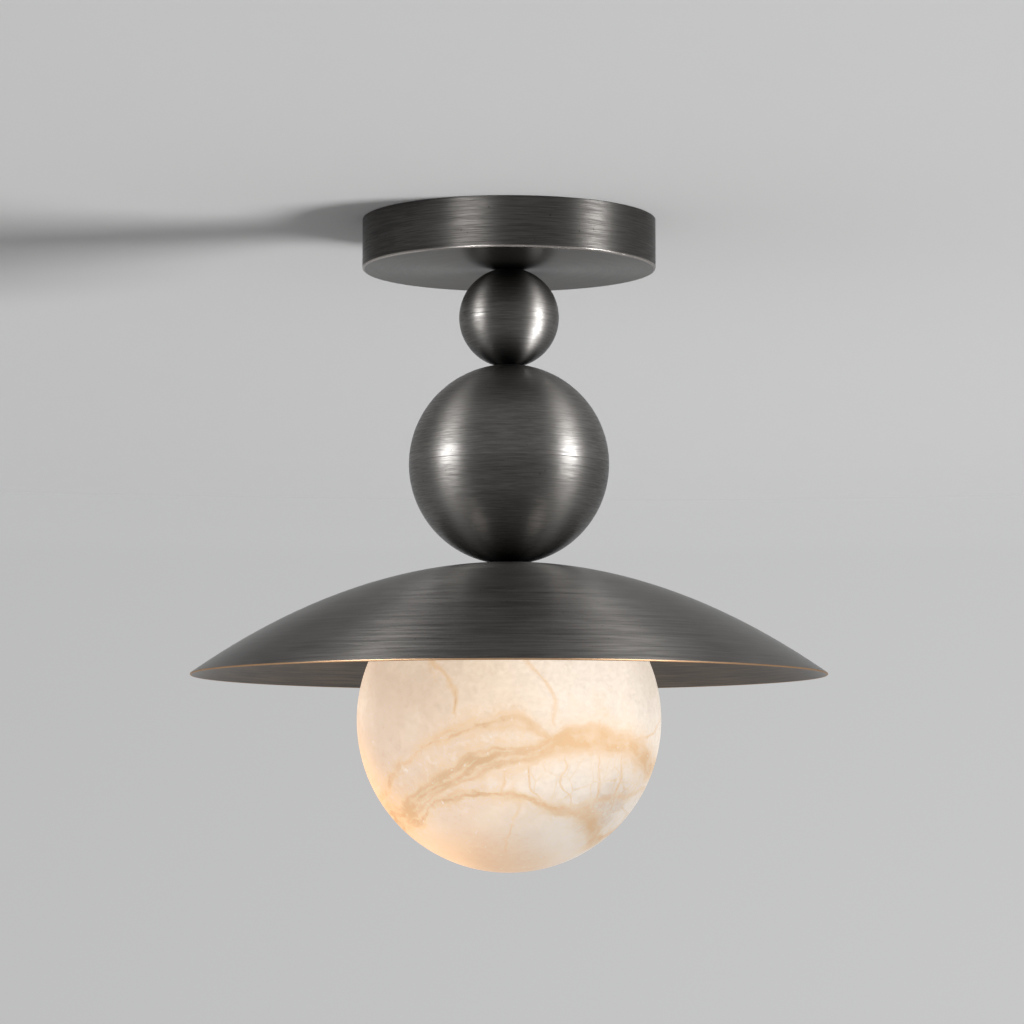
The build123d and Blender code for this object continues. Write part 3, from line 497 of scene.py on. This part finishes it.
def stone_ground(stone, between, cells, veined):
    """The stone's colour without its veins, with painted light that makes it paler towards the upper right."""
    tree = stone.tree
    grain = stone.grain
    left = stone.towards((-1.0, 0.0, -0.3), -0.3, 0.5)
    colour = blend(tree, left, STONE_PALE, STONE_BLUSH)
    colour = blend(tree, span(tree, stone.clouds, 0.46, 0.68, 0.0, 0.7), colour, STONE_CREAM)
    middle = times(tree, stone.towards((-0.05, -0.97, 0.22), 0.82, 1.0), 0.72)
    colour = blend(tree, middle, colour, STONE_CREAM)
    plates = times(tree, between, span(tree, cells, 0.0, 0.3, 0.1, 0.45))
    colour = blend(tree, plates, colour, STONE_WHITE)
    # Painted light: the stone is paler towards the upper right
    right = times(tree, stone.towards((0.7, -0.65, 0.3), 0.6, 1.0), 0.8)
    colour = blend(tree, right, colour, STONE_WHITE)
    # A greyer patch towards the lower front right
    lower_right_patch = stone.towards((0.6, -0.54, -0.59), 0.965, 1.0)
    colour = blend(tree, times(tree, lower_right_patch, span(tree, grain, 0.35, 0.65, 0.3, 0.9)), colour, STONE_GREY)
    colour = blend(tree, span(tree, grain, 0.52, 0.75, 0.0, 0.2), colour, STONE_GREY)
    sugar = span(tree, stone.sugar, *NOISE_RANGE, 0.925, 1.055)
    speckle = sums(tree, "ADD", sugar, span(tree, grain, *NOISE_RANGE, 0.02, -0.02))
    calm = span(tree, stone.level, -0.85, -0.6, 0.4, 1.0)
    speckle = sums(tree, "MULTIPLY_ADD", sums(tree, "SUBTRACT", speckle, 1.0), calm, 1.0)
    colour = blend(tree, 1.0, colour, speckle, "MULTIPLY")
    crystals = times(tree, stone.ridges(GLINT_SCALE), span(tree, veined, 0.02, 0.2, 0.0, 0.6))
    return blend(tree, crystals, colour, STONE_WHITE)


def alabaster(name):
    """Honed stone with brown veins, lit from inside: the veins show in its colour and in its glow."""
    material, tree, shader = new_material(name)
    stone = Stone(tree)
    veins = [stone.along(*vein) for vein in ROUND_VEINS] + [stone.down(*vein) for vein in DOWN_VEINS]
    drawn = most(tree, *veins)
    between, cells, cracks = pale_plates(stone)
    wisps = times(tree, stone.ridges(WISP_SCALE), span(tree, drawn, 0.02, 0.25, 0.06, 0.42))
    mottle = span(tree, stone.grain, 0.25, 0.75, 0.7, 1.2)
    veined = sums(tree, "MINIMUM", times(tree, most(tree, drawn, wisps, cracks), mottle), 1.0)

    depth = times(tree, span(tree, veined, 0.5, 0.95), span(tree, stone.turn, 0.46, 0.56, 1.0, 0.3))
    ink = blend(tree, depth, VEIN_LIGHT, VEIN_DARK)
    colour = blend(tree, veined, stone_ground(stone, between, cells, veined), ink)
    flecks = noise(tree, stone.bent, FLECK_SCALE, 2.0)
    colour = blend(tree, span(tree, flecks, 0.68, 0.76, 0.0, 0.6), colour, STONE_FLECK)
    tree.links.new(colour, shader.inputs["Base Color"])

    # Painted light and shade in the glow: warmer towards the left edge and the foot, weaker towards the lower
    # front right, and stronger or weaker on the other sides given above
    left_edge = stone.towards((-0.8, 0.1, -0.6), 0.66, 1.0)
    foot = stone.towards((-0.2, -0.1, -0.97), 0.72, 1.0)
    warm = blend(tree, most(tree, left_edge, foot), GLOW_WHITE, GLOW_WARM)
    tree.links.new(blend(tree, 1.0, colour, warm, "MULTIPLY"), shader.inputs["Emission Color"])
    dim = sums(tree, "MULTIPLY_ADD", stone.towards((0.5, -0.3, -0.81), 0.6, 1.0), -0.46, 1.0)
    side = sums(tree, "MULTIPLY_ADD", stone.towards((0.8, -0.3, 0.5), -0.7, 0.7), 0.24, 0.71)
    for direction, start, more in PAINTED_GLOW_SIDES:
        side = sums(tree, "MULTIPLY_ADD", stone.towards(direction, start, 1.0), more, side)
    tree.links.new(times(tree, dim, side), shader.inputs["Emission Strength"])
    tree.links.new(span(tree, stone.grain, *NOISE_RANGE, 0.40, 0.52), shader.inputs["Roughness"])
    relief(tree, shader, stone.sugar, SUGAR_STRENGTH, SUGAR_RELIEF)
    shader.inputs["Specular IOR Level"].default_value = STONE_SHINE
    return material


# Finishes of small and inner pieces
PLAIN_SCALE = 180.0
PLAIN_DIM = 0.75
PLAIN_SWING = 0.15
ROLLED_SCALES = (90.0, 2600.0, 900.0)
CRYSTAL_SCALE = 420.0
STAIN_SCALE = 45.0


def plain(name, colour, roughness, metallic=0.0, glow=0.0):
    """A finish with slight mottling in colour, gloss and surface."""
    material, tree, shader = new_material(name)
    cloud = noise(tree, object_place(tree), PLAIN_SCALE, 4.0)
    dim = tuple(PLAIN_DIM * c for c in colour[:3]) + (1,)
    tree.links.new(blend(tree, span(tree, cloud, *NOISE_RANGE), dim, colour), shader.inputs["Base Color"])
    smooth = roughness * (1 - PLAIN_SWING)
    coarse = roughness * (1 + PLAIN_SWING)
    tree.links.new(span(tree, cloud, *NOISE_RANGE, smooth, coarse), shader.inputs["Roughness"])
    relief(tree, shader, cloud, 0.1, 0.0001)
    shader.inputs["Metallic"].default_value = metallic
    if glow:
        shader.inputs["Emission Color"].default_value = GLOW_WHITE
        shader.inputs["Emission Strength"].default_value = glow
    return material


def zinc(name):
    """Bright zinc on rolled steel: faint crystals, fine lines from the rolling, and uneven gloss."""
    material, tree, shader = new_material(name)
    place = object_place(tree)
    lines = noise(tree, vectors(tree, "MULTIPLY", place, ROLLED_SCALES), 1.0, 3.0)
    crystals = add(tree, "TexVoronoi", {"Vector": place, "Scale": CRYSTAL_SCALE}).outputs["Color"]
    tone = add(tree, "SeparateColor", {0: crystals}).outputs[0]
    stain = noise(tree, place, STAIN_SCALE, 5.0)
    colour = blend(tree, span(tree, lines, *NOISE_RANGE), ZINC_DARK, ZINC_LIGHT)
    colour = blend(tree, times(tree, tone, 0.16), colour, ZINC_DARK)
    colour = blend(tree, span(tree, stain, 0.55, 0.75, 0.0, 0.35), colour, ZINC_STAIN)
    tree.links.new(colour, shader.inputs["Base Color"])
    gloss = span(tree, sums(tree, "ADD", lines, tone), 0.4, 1.4, 0.27, 0.40)
    tree.links.new(gloss, shader.inputs["Roughness"])
    relief(tree, shader, lines, 0.15, 0.00004)
    shader.inputs["Metallic"].default_value = 1.0
    return material


# Finishes of the slots, and of the nodes that have their own
BALL_LOOK = {"gloss": 0.48, "drawn": 0.76, "stroke": 0.009, "across": 0.0005, "lacquer": 0.38}
BALL_GRAZING = 0.55
# Painted sheen and reflection: lighter rings at the large ball's seam and a little above it
seam_bands = [(seam_level, 0.006, 0.045), (seam_level + 0.0235, 0.011, 0.05)]
ball_metal = brushed_metal("ball_metal", BALL_GRAZING, **BALL_LOOK)
upper_metal = brushed_metal("upper_metal", BALL_GRAZING, bands=seam_bands, **BALL_LOOK)
# Painted shade: the large ball's lower half is darker on its upright faces
lower_metal = brushed_metal("lower_metal", BALL_GRAZING, bands=[(seam_level, 0.005, 0.06)], wall=0.84,
                            **BALL_LOOK)
# The canopy: painted shade on its upright side, and a painted highlight along its lower edge, partly also wear
canopy_metal = brushed_metal("canopy_metal", 0.7, [(canopy_radius, canopy_low.z)], polished=0.2, wall=0.6,
                             under=0.12, stroke=0.014, across=0.0005, vary=0.05)
# The shade: a painted warm reflection of the globe's glow on its rim, painted warm light inside, and painted
# shade on its steeper faces
shade_metal = brushed_metal("shade_metal", 0.8, [(shade_radius, shade_low.z)], RIM_GLOW_REFLECTION, polished=-0.25,
                            wall=0.8, inside=0.9, stroke=0.026, across=0.0006, soft=0.15, gloss=0.36,
                            vary=-0.02, drawn=0.8)
finishes = {
    "dark_metal": ball_metal,
    "fitter_metal": ball_metal,
    "zinc_steel": zinc("zinc_steel"),
    "green_steel": plain("green_steel", (0.05, 0.30, 0.10, 1), 0.35, metallic=0.6),
    "brass": plain("brass", (0.72, 0.52, 0.22, 1), 0.3, metallic=1.0),
    "alabaster": alabaster("alabaster"),
    "seal_rubber": plain("seal_rubber", (0.72, 0.70, 0.66, 1), 0.6),
    "bushing_plastic": plain("bushing_plastic", (0.80, 0.79, 0.74, 1), 0.45),
    "holder_ceramic": plain("holder_ceramic", (0.84, 0.82, 0.77, 1), 0.5),
    "lamp_cover": plain("lamp_cover", (0.92, 0.88, 0.80, 1), 0.4, glow=1.5),
    "light_board": plain("light_board", (0.75, 0.75, 0.72, 1), 0.4),
    "block_plastic": plain("block_plastic", (0.82, 0.82, 0.78, 1), 0.4),
    "brown_wire": plain("brown_wire", (0.18, 0.08, 0.035, 1), 0.45),
    "blue_wire": plain("blue_wire", (0.03, 0.11, 0.40, 1), 0.45),
    "green_wire": plain("green_wire", (0.08, 0.34, 0.07, 1), 0.45),
}
own_finishes = {
    "canopy": canopy_metal,
    "canopy_set_screws": ball_metal,
    "large_ball_upper_half": upper_metal,
    "large_ball_lower_half": lower_metal,
    "shade": shade_metal,
}
for entry in frame["record"]["subparts"]:
    mesh = nodes[entry["node"]].data
    mesh.materials.clear()
    mesh.materials.append(own_finishes.get(entry["node"], finishes[entry["material_slot"]]))


# Pieces that are finer than the solids
SHARP_ANGLE = math.radians(50)


def new_piece(name, data, body, slot):
    """An object in the scene that rides on a body and takes the finish of a slot."""
    piece = bpy.data.objects.new(name, data)
    bpy.context.scene.collection.objects.link(piece)
    data.materials.append(finishes[slot])
    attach(piece, body)
    return piece


def rings(name, loops, closed, body, slot):
    """A smooth skin over loops with the same count of points; closed joins the last loop to the first."""
    points = [point for loop in loops for point in loop]
    count = len(loops[0])
    faces = []
    for first in range(len(loops) if closed else len(loops) - 1):
        start = first * count
        end = (first + 1) % len(loops) * count
        for step in range(count):
            after = (step + 1) % count
            faces.append((start + step, end + step, end + after, start + after))
    if not closed:
        faces.append(tuple(range(count)))
        faces.append(tuple(range(len(points) - count, len(points)))[::-1])
    mesh = bpy.data.meshes.new(name)
    mesh.from_pydata(points, [], faces)
    mesh.shade_smooth()
    mesh.set_sharp_from_angle(angle=SHARP_ANGLE)
    return new_piece(name, mesh, body, slot)


def turned(section, angle, level=0.0):
    """A section of (radius, height) points, set at an angle round the Z axis and raised to a level."""
    return [(r * math.cos(angle), r * math.sin(angle), level + z) for r, z in section]


# Threads: a ridge on the fitter's skirt, and one in the collar's bore that runs between its turns
THREAD_STEPS = 72
THREAD_SINK = 0.00005
THREAD_ROOT = 0.0007
THREAD_CREST = 0.0002
THREAD_PITCH = 0.0028
THREAD_DEPTH = 0.00024
RUN_OUT = 6
SKIRT_RADIUS = 0.0243
BORE_RADIUS = 0.0246
END_LAND = 0.0009


def thread(name, root, crest, low, high, start, body):
    """A right-hand screw ridge from root radius to crest radius, run out to nothing at both ends."""
    turns = (high - low) / THREAD_PITCH
    steps = math.ceil(turns * THREAD_STEPS)
    foot = root + math.copysign(THREAD_SINK, root - crest)
    loops = []
    for step in range(steps + 1):
        share = step / steps
        rise = min(1.0, RUN_OUT * share, RUN_OUT * (1 - share))
        tip = root + (crest - root) * rise
        section = [(foot, -THREAD_ROOT), (tip, -THREAD_CREST), (tip, THREAD_CREST), (foot, THREAD_ROOT)]
        if crest < root:
            section.reverse()
        angle = start + 2 * math.pi * turns * share
        loops.append(turned(section, angle, low + (high - low) * share))
    return rings(name, loops, False, body, "fitter_metal")


fitter_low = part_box("globe_fitter")[0]
collar_low, collar_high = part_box("globe_collar")
seal_low, seal_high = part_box("globe_seal")
bore_start = 2 * math.pi * ((collar_low.z - fitter_low.z) / THREAD_PITCH + 0.5)
thread("skirt_thread", SKIRT_RADIUS, SKIRT_RADIUS + THREAD_DEPTH, fitter_low.z + END_LAND, seal_low.z, 0.0,
       "fixture")
thread("collar_thread", BORE_RADIUS, BORE_RADIUS - THREAD_DEPTH, collar_low.z + END_LAND,
       collar_high.z - END_LAND, bore_start, "globe")

# Seal: a moulded ring with rounded edges
SEAL_STEPS = 120
SEAL_ROUNDING = 0.5
SEAL_HEIGHT = 0.85
CORNER_STEPS = 5
CORNER_ANGLE = 22.5


def seal_ring():
    """The ring's section, swept round the axis."""
    middle = (BORE_RADIUS + seal_high.x) / 2
    reach = (seal_high.x - BORE_RADIUS) / 2
    level = (seal_low.z + seal_high.z) / 2
    half = (seal_high.z - seal_low.z) / 2
    edge = SEAL_ROUNDING * half
    section = []
    for across, up, first in ((1, 1, 0), (-1, 1, 90), (-1, -1, 180), (1, -1, 270)):
        corner_radius = middle + across * (reach - edge)
        corner_level = level + up * (SEAL_HEIGHT * half - edge)
        for step in range(CORNER_STEPS):
            angle = math.radians(first + CORNER_ANGLE * step)
            section.append((corner_radius + edge * math.cos(angle), corner_level + edge * math.sin(angle)))
    loops = [turned(section, 2 * math.pi * step / SEAL_STEPS) for step in range(SEAL_STEPS)]
    return rings("seal_ring", loops, True, "seal", "seal_rubber")


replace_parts(seal_ring(), "globe_seal")

# Leads: insulated wires along the routes of their solids
LEAD_RADIUS = 0.001
LEAD_OFFSET = 0.00105
PIN_OFFSET = 0.0045
POLE_OFFSET = 0.008
PIN_RUN = 0.0075
STEM_RUN = 0.003
STEM_END = 0.001
BLOCK_RUN = 0.004
CRIMP_RUN = 0.0045
CRIMP_BEND = 0.007
WIRE_ROUNDNESS = 5
SPLINE_ORDER = 3
SPLINE_STEPS = 8


def lead(name, points, slot):
    """A wire of the solid's thickness, on a smooth spline, that replaces the solid of the same name."""
    wire = bpy.data.curves.new(name + "_wire", "CURVE")
    wire.dimensions = "3D"
    wire.bevel_depth = LEAD_RADIUS
    wire.bevel_resolution = WIRE_ROUNDNESS
    wire.use_fill_caps = True
    line = wire.splines.new("NURBS")
    line.points.add(len(points) - 1)
    for spot, (x, y, z) in zip(line.points, points):
        spot.co = (x, y, z, 1)
    line.order_u = SPLINE_ORDER
    line.use_endpoint_u = True
    line.resolution_u = SPLINE_STEPS
    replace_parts(new_piece(name + "_wire", wire, "fixture", slot), name)


contact_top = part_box("live_lead")[0].z
block_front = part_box("terminal_block")[0].y
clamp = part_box("live_lead")[1].y
lead_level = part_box("live_lead")[1].z - LEAD_RADIUS
stem_low, stem_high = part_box("stem_tube")
for name, side, slot in (("live_lead", 1, "brown_wire"), ("neutral_lead", -1, "blue_wire")):
    pin = side * PIN_OFFSET
    inside = side * LEAD_OFFSET
    pole = side * POLE_OFFSET
    lead(name, [
        (pin, 0, contact_top),
        (pin, 0, stem_low.z - PIN_RUN),
        (inside, 0, stem_low.z - STEM_RUN),
        (inside, 0, stem_low.z + STEM_RUN),
        (inside, 0, stem_high.z - STEM_END),
        (inside, 0, lead_level),
        (inside, block_front / 2, lead_level),
        (pole, block_front - BLOCK_RUN, lead_level),
        (pole, clamp, lead_level),
    ], slot)
crimp_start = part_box("earth_lead")[0].y
crimp_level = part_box("earth_lead")[0].z + LEAD_RADIUS
lead("earth_lead", [
    (0, crimp_start, crimp_level),
    (0, crimp_start + CRIMP_RUN, crimp_level),
    (0, crimp_start + CRIMP_BEND, crimp_level),
    (0, block_front - BLOCK_RUN, lead_level),
    (0, clamp, lead_level),
], "green_wire")

# Light chips: two columns of small moulded blocks on each face of the lamp's board
CHIP_ROWS = 6
CHIP_START = 0.6
CHIP_COLUMN = 0.25
CHIP_WIDTH = 0.0028
CHIP_LENGTH = 0.0035
CHIP_HEIGHT = 0.0007
CHIP_PROFILE = ((0.0, 1.0), (0.7, 1.0), (1.0, 0.82))
CHIP_CORNERS = ((-1, -1), (1, -1), (1, 1), (-1, 1))


def light_chips():
    """All the chips as one piece."""
    low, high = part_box("bulb_led_board")
    row_height = (high.z - low.z) / CHIP_ROWS
    places = [(face, column, row) for face in (-1, 1) for column in (-1, 1) for row in range(CHIP_ROWS)]
    points = []
    faces = []
    for face, column, row in places:
        across = column * CHIP_COLUMN * (high.x - low.x)
        level = low.z + (row + CHIP_START) * row_height
        first = len(points)
        for lift, shrink in CHIP_PROFILE:
            out = face * (high.y + lift * CHIP_HEIGHT)
            for x, z in CHIP_CORNERS:
                side = x * shrink * CHIP_WIDTH / 2
                rise = z * shrink * CHIP_LENGTH / 2
                points.append((across + side, out, level + rise))
        chip = []
        for lower in (first, first + 4):
            upper = lower + 4
            for step in range(4):
                after = (step + 1) % 4
                chip.append((lower + step, lower + after, upper + after, upper + step))
        chip.append(tuple(range(first + 8, first + 12)))
        chip.append(tuple(range(first, first + 4))[::-1])
        faces += chip if face < 0 else [corners[::-1] for corners in chip]
    mesh = bpy.data.meshes.new("light_chips")
    mesh.from_pydata(points, [], faces)
    return new_piece("light_chips", mesh, "bulb", "lamp_cover")


light_chips()

# Stage: a pale floor far below, and the ceiling round the canopy, which fades into the backdrop
STAGE_STEPS = 96
STUDIO_WHITE = (0.995, 0.997, 1.0, 1)
FLOOR_LEVEL = -2.4
FLOOR_HOLE = 0.001
FLOOR_REACH = 6.0
FLOOR_TONE = (0.80, 0.80, 0.80, 1)
FLOOR_ROUGHNESS = 0.8
FLOOR_GLOW = 0.2
CEILING_LEVEL = 0.0003
CEILING_HOLE = 0.9
CEILING_REACH = 3.0
CEILING_FADE = (0.5, 2.2)
CEILING_SIDE = 0.45
CEILING_LEFT = (0.57, 0.57, 0.57, 1)
CEILING_RIGHT = (0.65, 0.65, 0.65, 1)


def stage_plane(name, height, inner, outer):
    """A flat ring that faces the object: down if it is above the globe, and otherwise up."""
    down = height > globe_low.z
    circle = [2 * math.pi * step / STAGE_STEPS for step in range(STAGE_STEPS)]
    points = []
    for radius in (inner, outer):
        points += [(radius * math.cos(angle), radius * math.sin(angle), height) for angle in circle]
    faces = []
    for step in range(STAGE_STEPS):
        after = (step + 1) % STAGE_STEPS
        face = (step, after, STAGE_STEPS + after, STAGE_STEPS + step)
        faces.append(face if down else face[::-1])
    mesh = bpy.data.meshes.new(name)
    mesh.from_pydata(points, [], faces)
    plane = bpy.data.objects.new(name, mesh)
    bpy.context.scene.collection.objects.link(plane)
    return plane


def seen_directly(tree):
    """1 for rays that show or mirror what they reach and 0 for the rest; also the kinds of ray."""
    rays = add(tree, "LightPath").outputs
    return most(tree, rays["Is Camera Ray"], rays["Is Glossy Ray"], rays["Is Transmission Ray"]), rays


floor = stage_plane("floor", FLOOR_LEVEL, FLOOR_HOLE, FLOOR_REACH)
floor.visible_shadow = False
floor_paint, tree, shader = new_material("floor_paint")
shader.inputs["Base Color"].default_value = FLOOR_TONE
shader.inputs["Roughness"].default_value = FLOOR_ROUGHNESS
shader.inputs["Emission Color"].default_value = STUDIO_WHITE
seen, _ = seen_directly(tree)
tree.links.new(times(tree, seen, FLOOR_GLOW), shader.inputs["Emission Strength"])
floor.data.materials.append(floor_paint)

ceiling = stage_plane("ceiling", CEILING_LEVEL, CEILING_HOLE * canopy_radius, CEILING_REACH)
ceiling_paint = bpy.data.materials.new("ceiling_paint")
ceiling_paint.use_nodes = True
tree = ceiling_paint.node_tree
tree.nodes.clear()
place = object_place(tree)
# Painted light: the ceiling is painted darker on the left and lighter on the right
aside = add(tree, "SeparateXYZ", {0: place}).outputs[0]
tone = blend(tree, span(tree, aside, -CEILING_SIDE, CEILING_SIDE), CEILING_LEFT, CEILING_RIGHT)
matt = add(tree, "BsdfDiffuse", {"Color": tone})
clear = add(tree, "BsdfTransparent")
behind = add(tree, "NewGeometry").outputs["Backfacing"]
gone = most(tree, span(tree, measure(tree, "LENGTH", place), *CEILING_FADE), behind)
mixed = add(tree, "MixShader", {0: gone, 1: matt.outputs[0], 2: clear.outputs[0]})
add(tree, "OutputMaterial", {0: mixed.outputs[0]})
ceiling.data.materials.append(ceiling_paint)

# World: the grey backdrop for what is seen and mirrored, and a soft fill for the rest
BACKDROP = 0.55
BACKDROP_TOP = 0.52
BACKDROP_RISE = (-0.1, 0.2)
BACKDROP_SIDE = 0.035
BACKDROP_WIDTH = (-0.25, 0.25)
MIRRORED_FRONT = 0.20
MIRRORED_DEPTH = (-0.5, 0.8)
FILL = 0.48
world = bpy.data.worlds.new("studio")
bpy.context.scene.world = world
world.use_nodes = True
tree = world.node_tree
tree.nodes.clear()
seen, rays = seen_directly(tree)
facing = add(tree, "SeparateXYZ", {0: add(tree, "TexCoord").outputs["Generated"]}).outputs
sideways = span(tree, facing[0], *BACKDROP_WIDTH, -BACKDROP_SIDE, BACKDROP_SIDE)
wall = sums(tree, "ADD", sideways, span(tree, facing[2], *BACKDROP_RISE, BACKDROP, BACKDROP_TOP))
mirrored = span(tree, facing[1], *MIRRORED_DEPTH, MIRRORED_FRONT, BACKDROP)
backdrop = add(tree, "Mix", {0: rays["Is Camera Ray"], 2: mirrored, 3: wall}).outputs[0]
strength = add(tree, "Mix", {0: seen, 2: FILL, 3: backdrop}).outputs[0]
light = add(tree, "Background", {"Color": STUDIO_WHITE, "Strength": strength})
add(tree, "OutputWorld", {0: light.outputs[0]})

# Lights: soft boxes that are each kept to some of the pieces, and a sun that only lights the ceiling
LIGHT_TARGET = Vector((0, 0, -0.14))
SUN_STRENGTH = 3.6
SUN_ANGLE = math.radians(22)
SUN_DIRECTION = Vector((-0.870, 0.225, 0.438))
solids = bpy.data.collections.new("solids")
for piece in nodes.values():
    solids.objects.link(piece)


def place_light(lamp, direction, pieces):
    """A light that faces a direction and is kept to these pieces, with shadows from the solids alone."""
    made = bpy.data.objects.new(lamp.name, lamp)
    made.rotation_euler = direction.to_track_quat("-Z", "Y").to_euler()
    bpy.context.scene.collection.objects.link(made)
    lit = bpy.data.collections.new(lamp.name + "_only")
    for piece in pieces:
        lit.objects.link(piece)
    made.light_linking.receiver_collection = lit
    made.light_linking.blocker_collection = solids
    return made


def soft_box(name, place, width, height, power, pieces):
    """An area light that faces the middle of the object."""
    lamp = bpy.data.lights.new(name, "AREA")
    lamp.shape = "RECTANGLE"
    lamp.size = width
    lamp.size_y = height
    lamp.energy = power
    place_light(lamp, LIGHT_TARGET - Vector(place), pieces).location = place


canopy = [nodes["canopy"]]
shade = [nodes["shade"]]
small_ball = [nodes["small_ball_upper_half"], nodes["small_ball_lower_half"]]
others = [piece for name, piece in nodes.items() if name not in ("canopy", "shade", "globe")]
soft_box("right_box", (1.38, -0.42, 0.09), 0.46, 0.36, 20.5, others)
soft_box("left_box", (-1.34, -0.41, 0.08), 0.50, 0.36, 17.0, others)
soft_box("small_right", (1.30, -0.30, -0.84), 0.30, 0.90, 40.0, small_ball)
soft_box("canopy_right", (1.33, -0.50, -0.05), 0.34, 0.20, 12.4, canopy)
soft_box("canopy_left", (-0.74, -1.30, -0.05), 0.60, 0.20, 9.6, canopy)
soft_box("shade_right", (1.10, -0.86, 0.9), 0.45, 0.45, 36.0, shade)
soft_box("shade_left", (-1.15, -0.8, 0.9), 0.52, 0.45, 34.0, shade)

sun = bpy.data.lights.new("ceiling_sun", "SUN")
sun.energy = SUN_STRENGTH
sun.angle = SUN_ANGLE
place_light(sun, SUN_DIRECTION, [ceiling])

# Camera, as in the photograph: about level with the globe's foot, and tilted up
FOCAL_LENGTH = 133.94
SENSOR_WIDTH = 36.0
FAR_CLIP = 50.0
CAMERA_PLACE = (0.0015, -1.8919, -0.3173)
CAMERA_TILT = math.radians(90 + 5.15)
lens = bpy.data.cameras.new("camera")
lens.lens = FOCAL_LENGTH
lens.sensor_width = SENSOR_WIDTH
lens.clip_end = FAR_CLIP
camera = bpy.data.objects.new("camera", lens)
camera.location = CAMERA_PLACE
camera.rotation_euler = (CAMERA_TILT, 0, 0)
bpy.context.scene.collection.objects.link(camera)
bpy.context.scene.camera = camera
bpy.context.scene.view_settings.view_transform = "Standard"
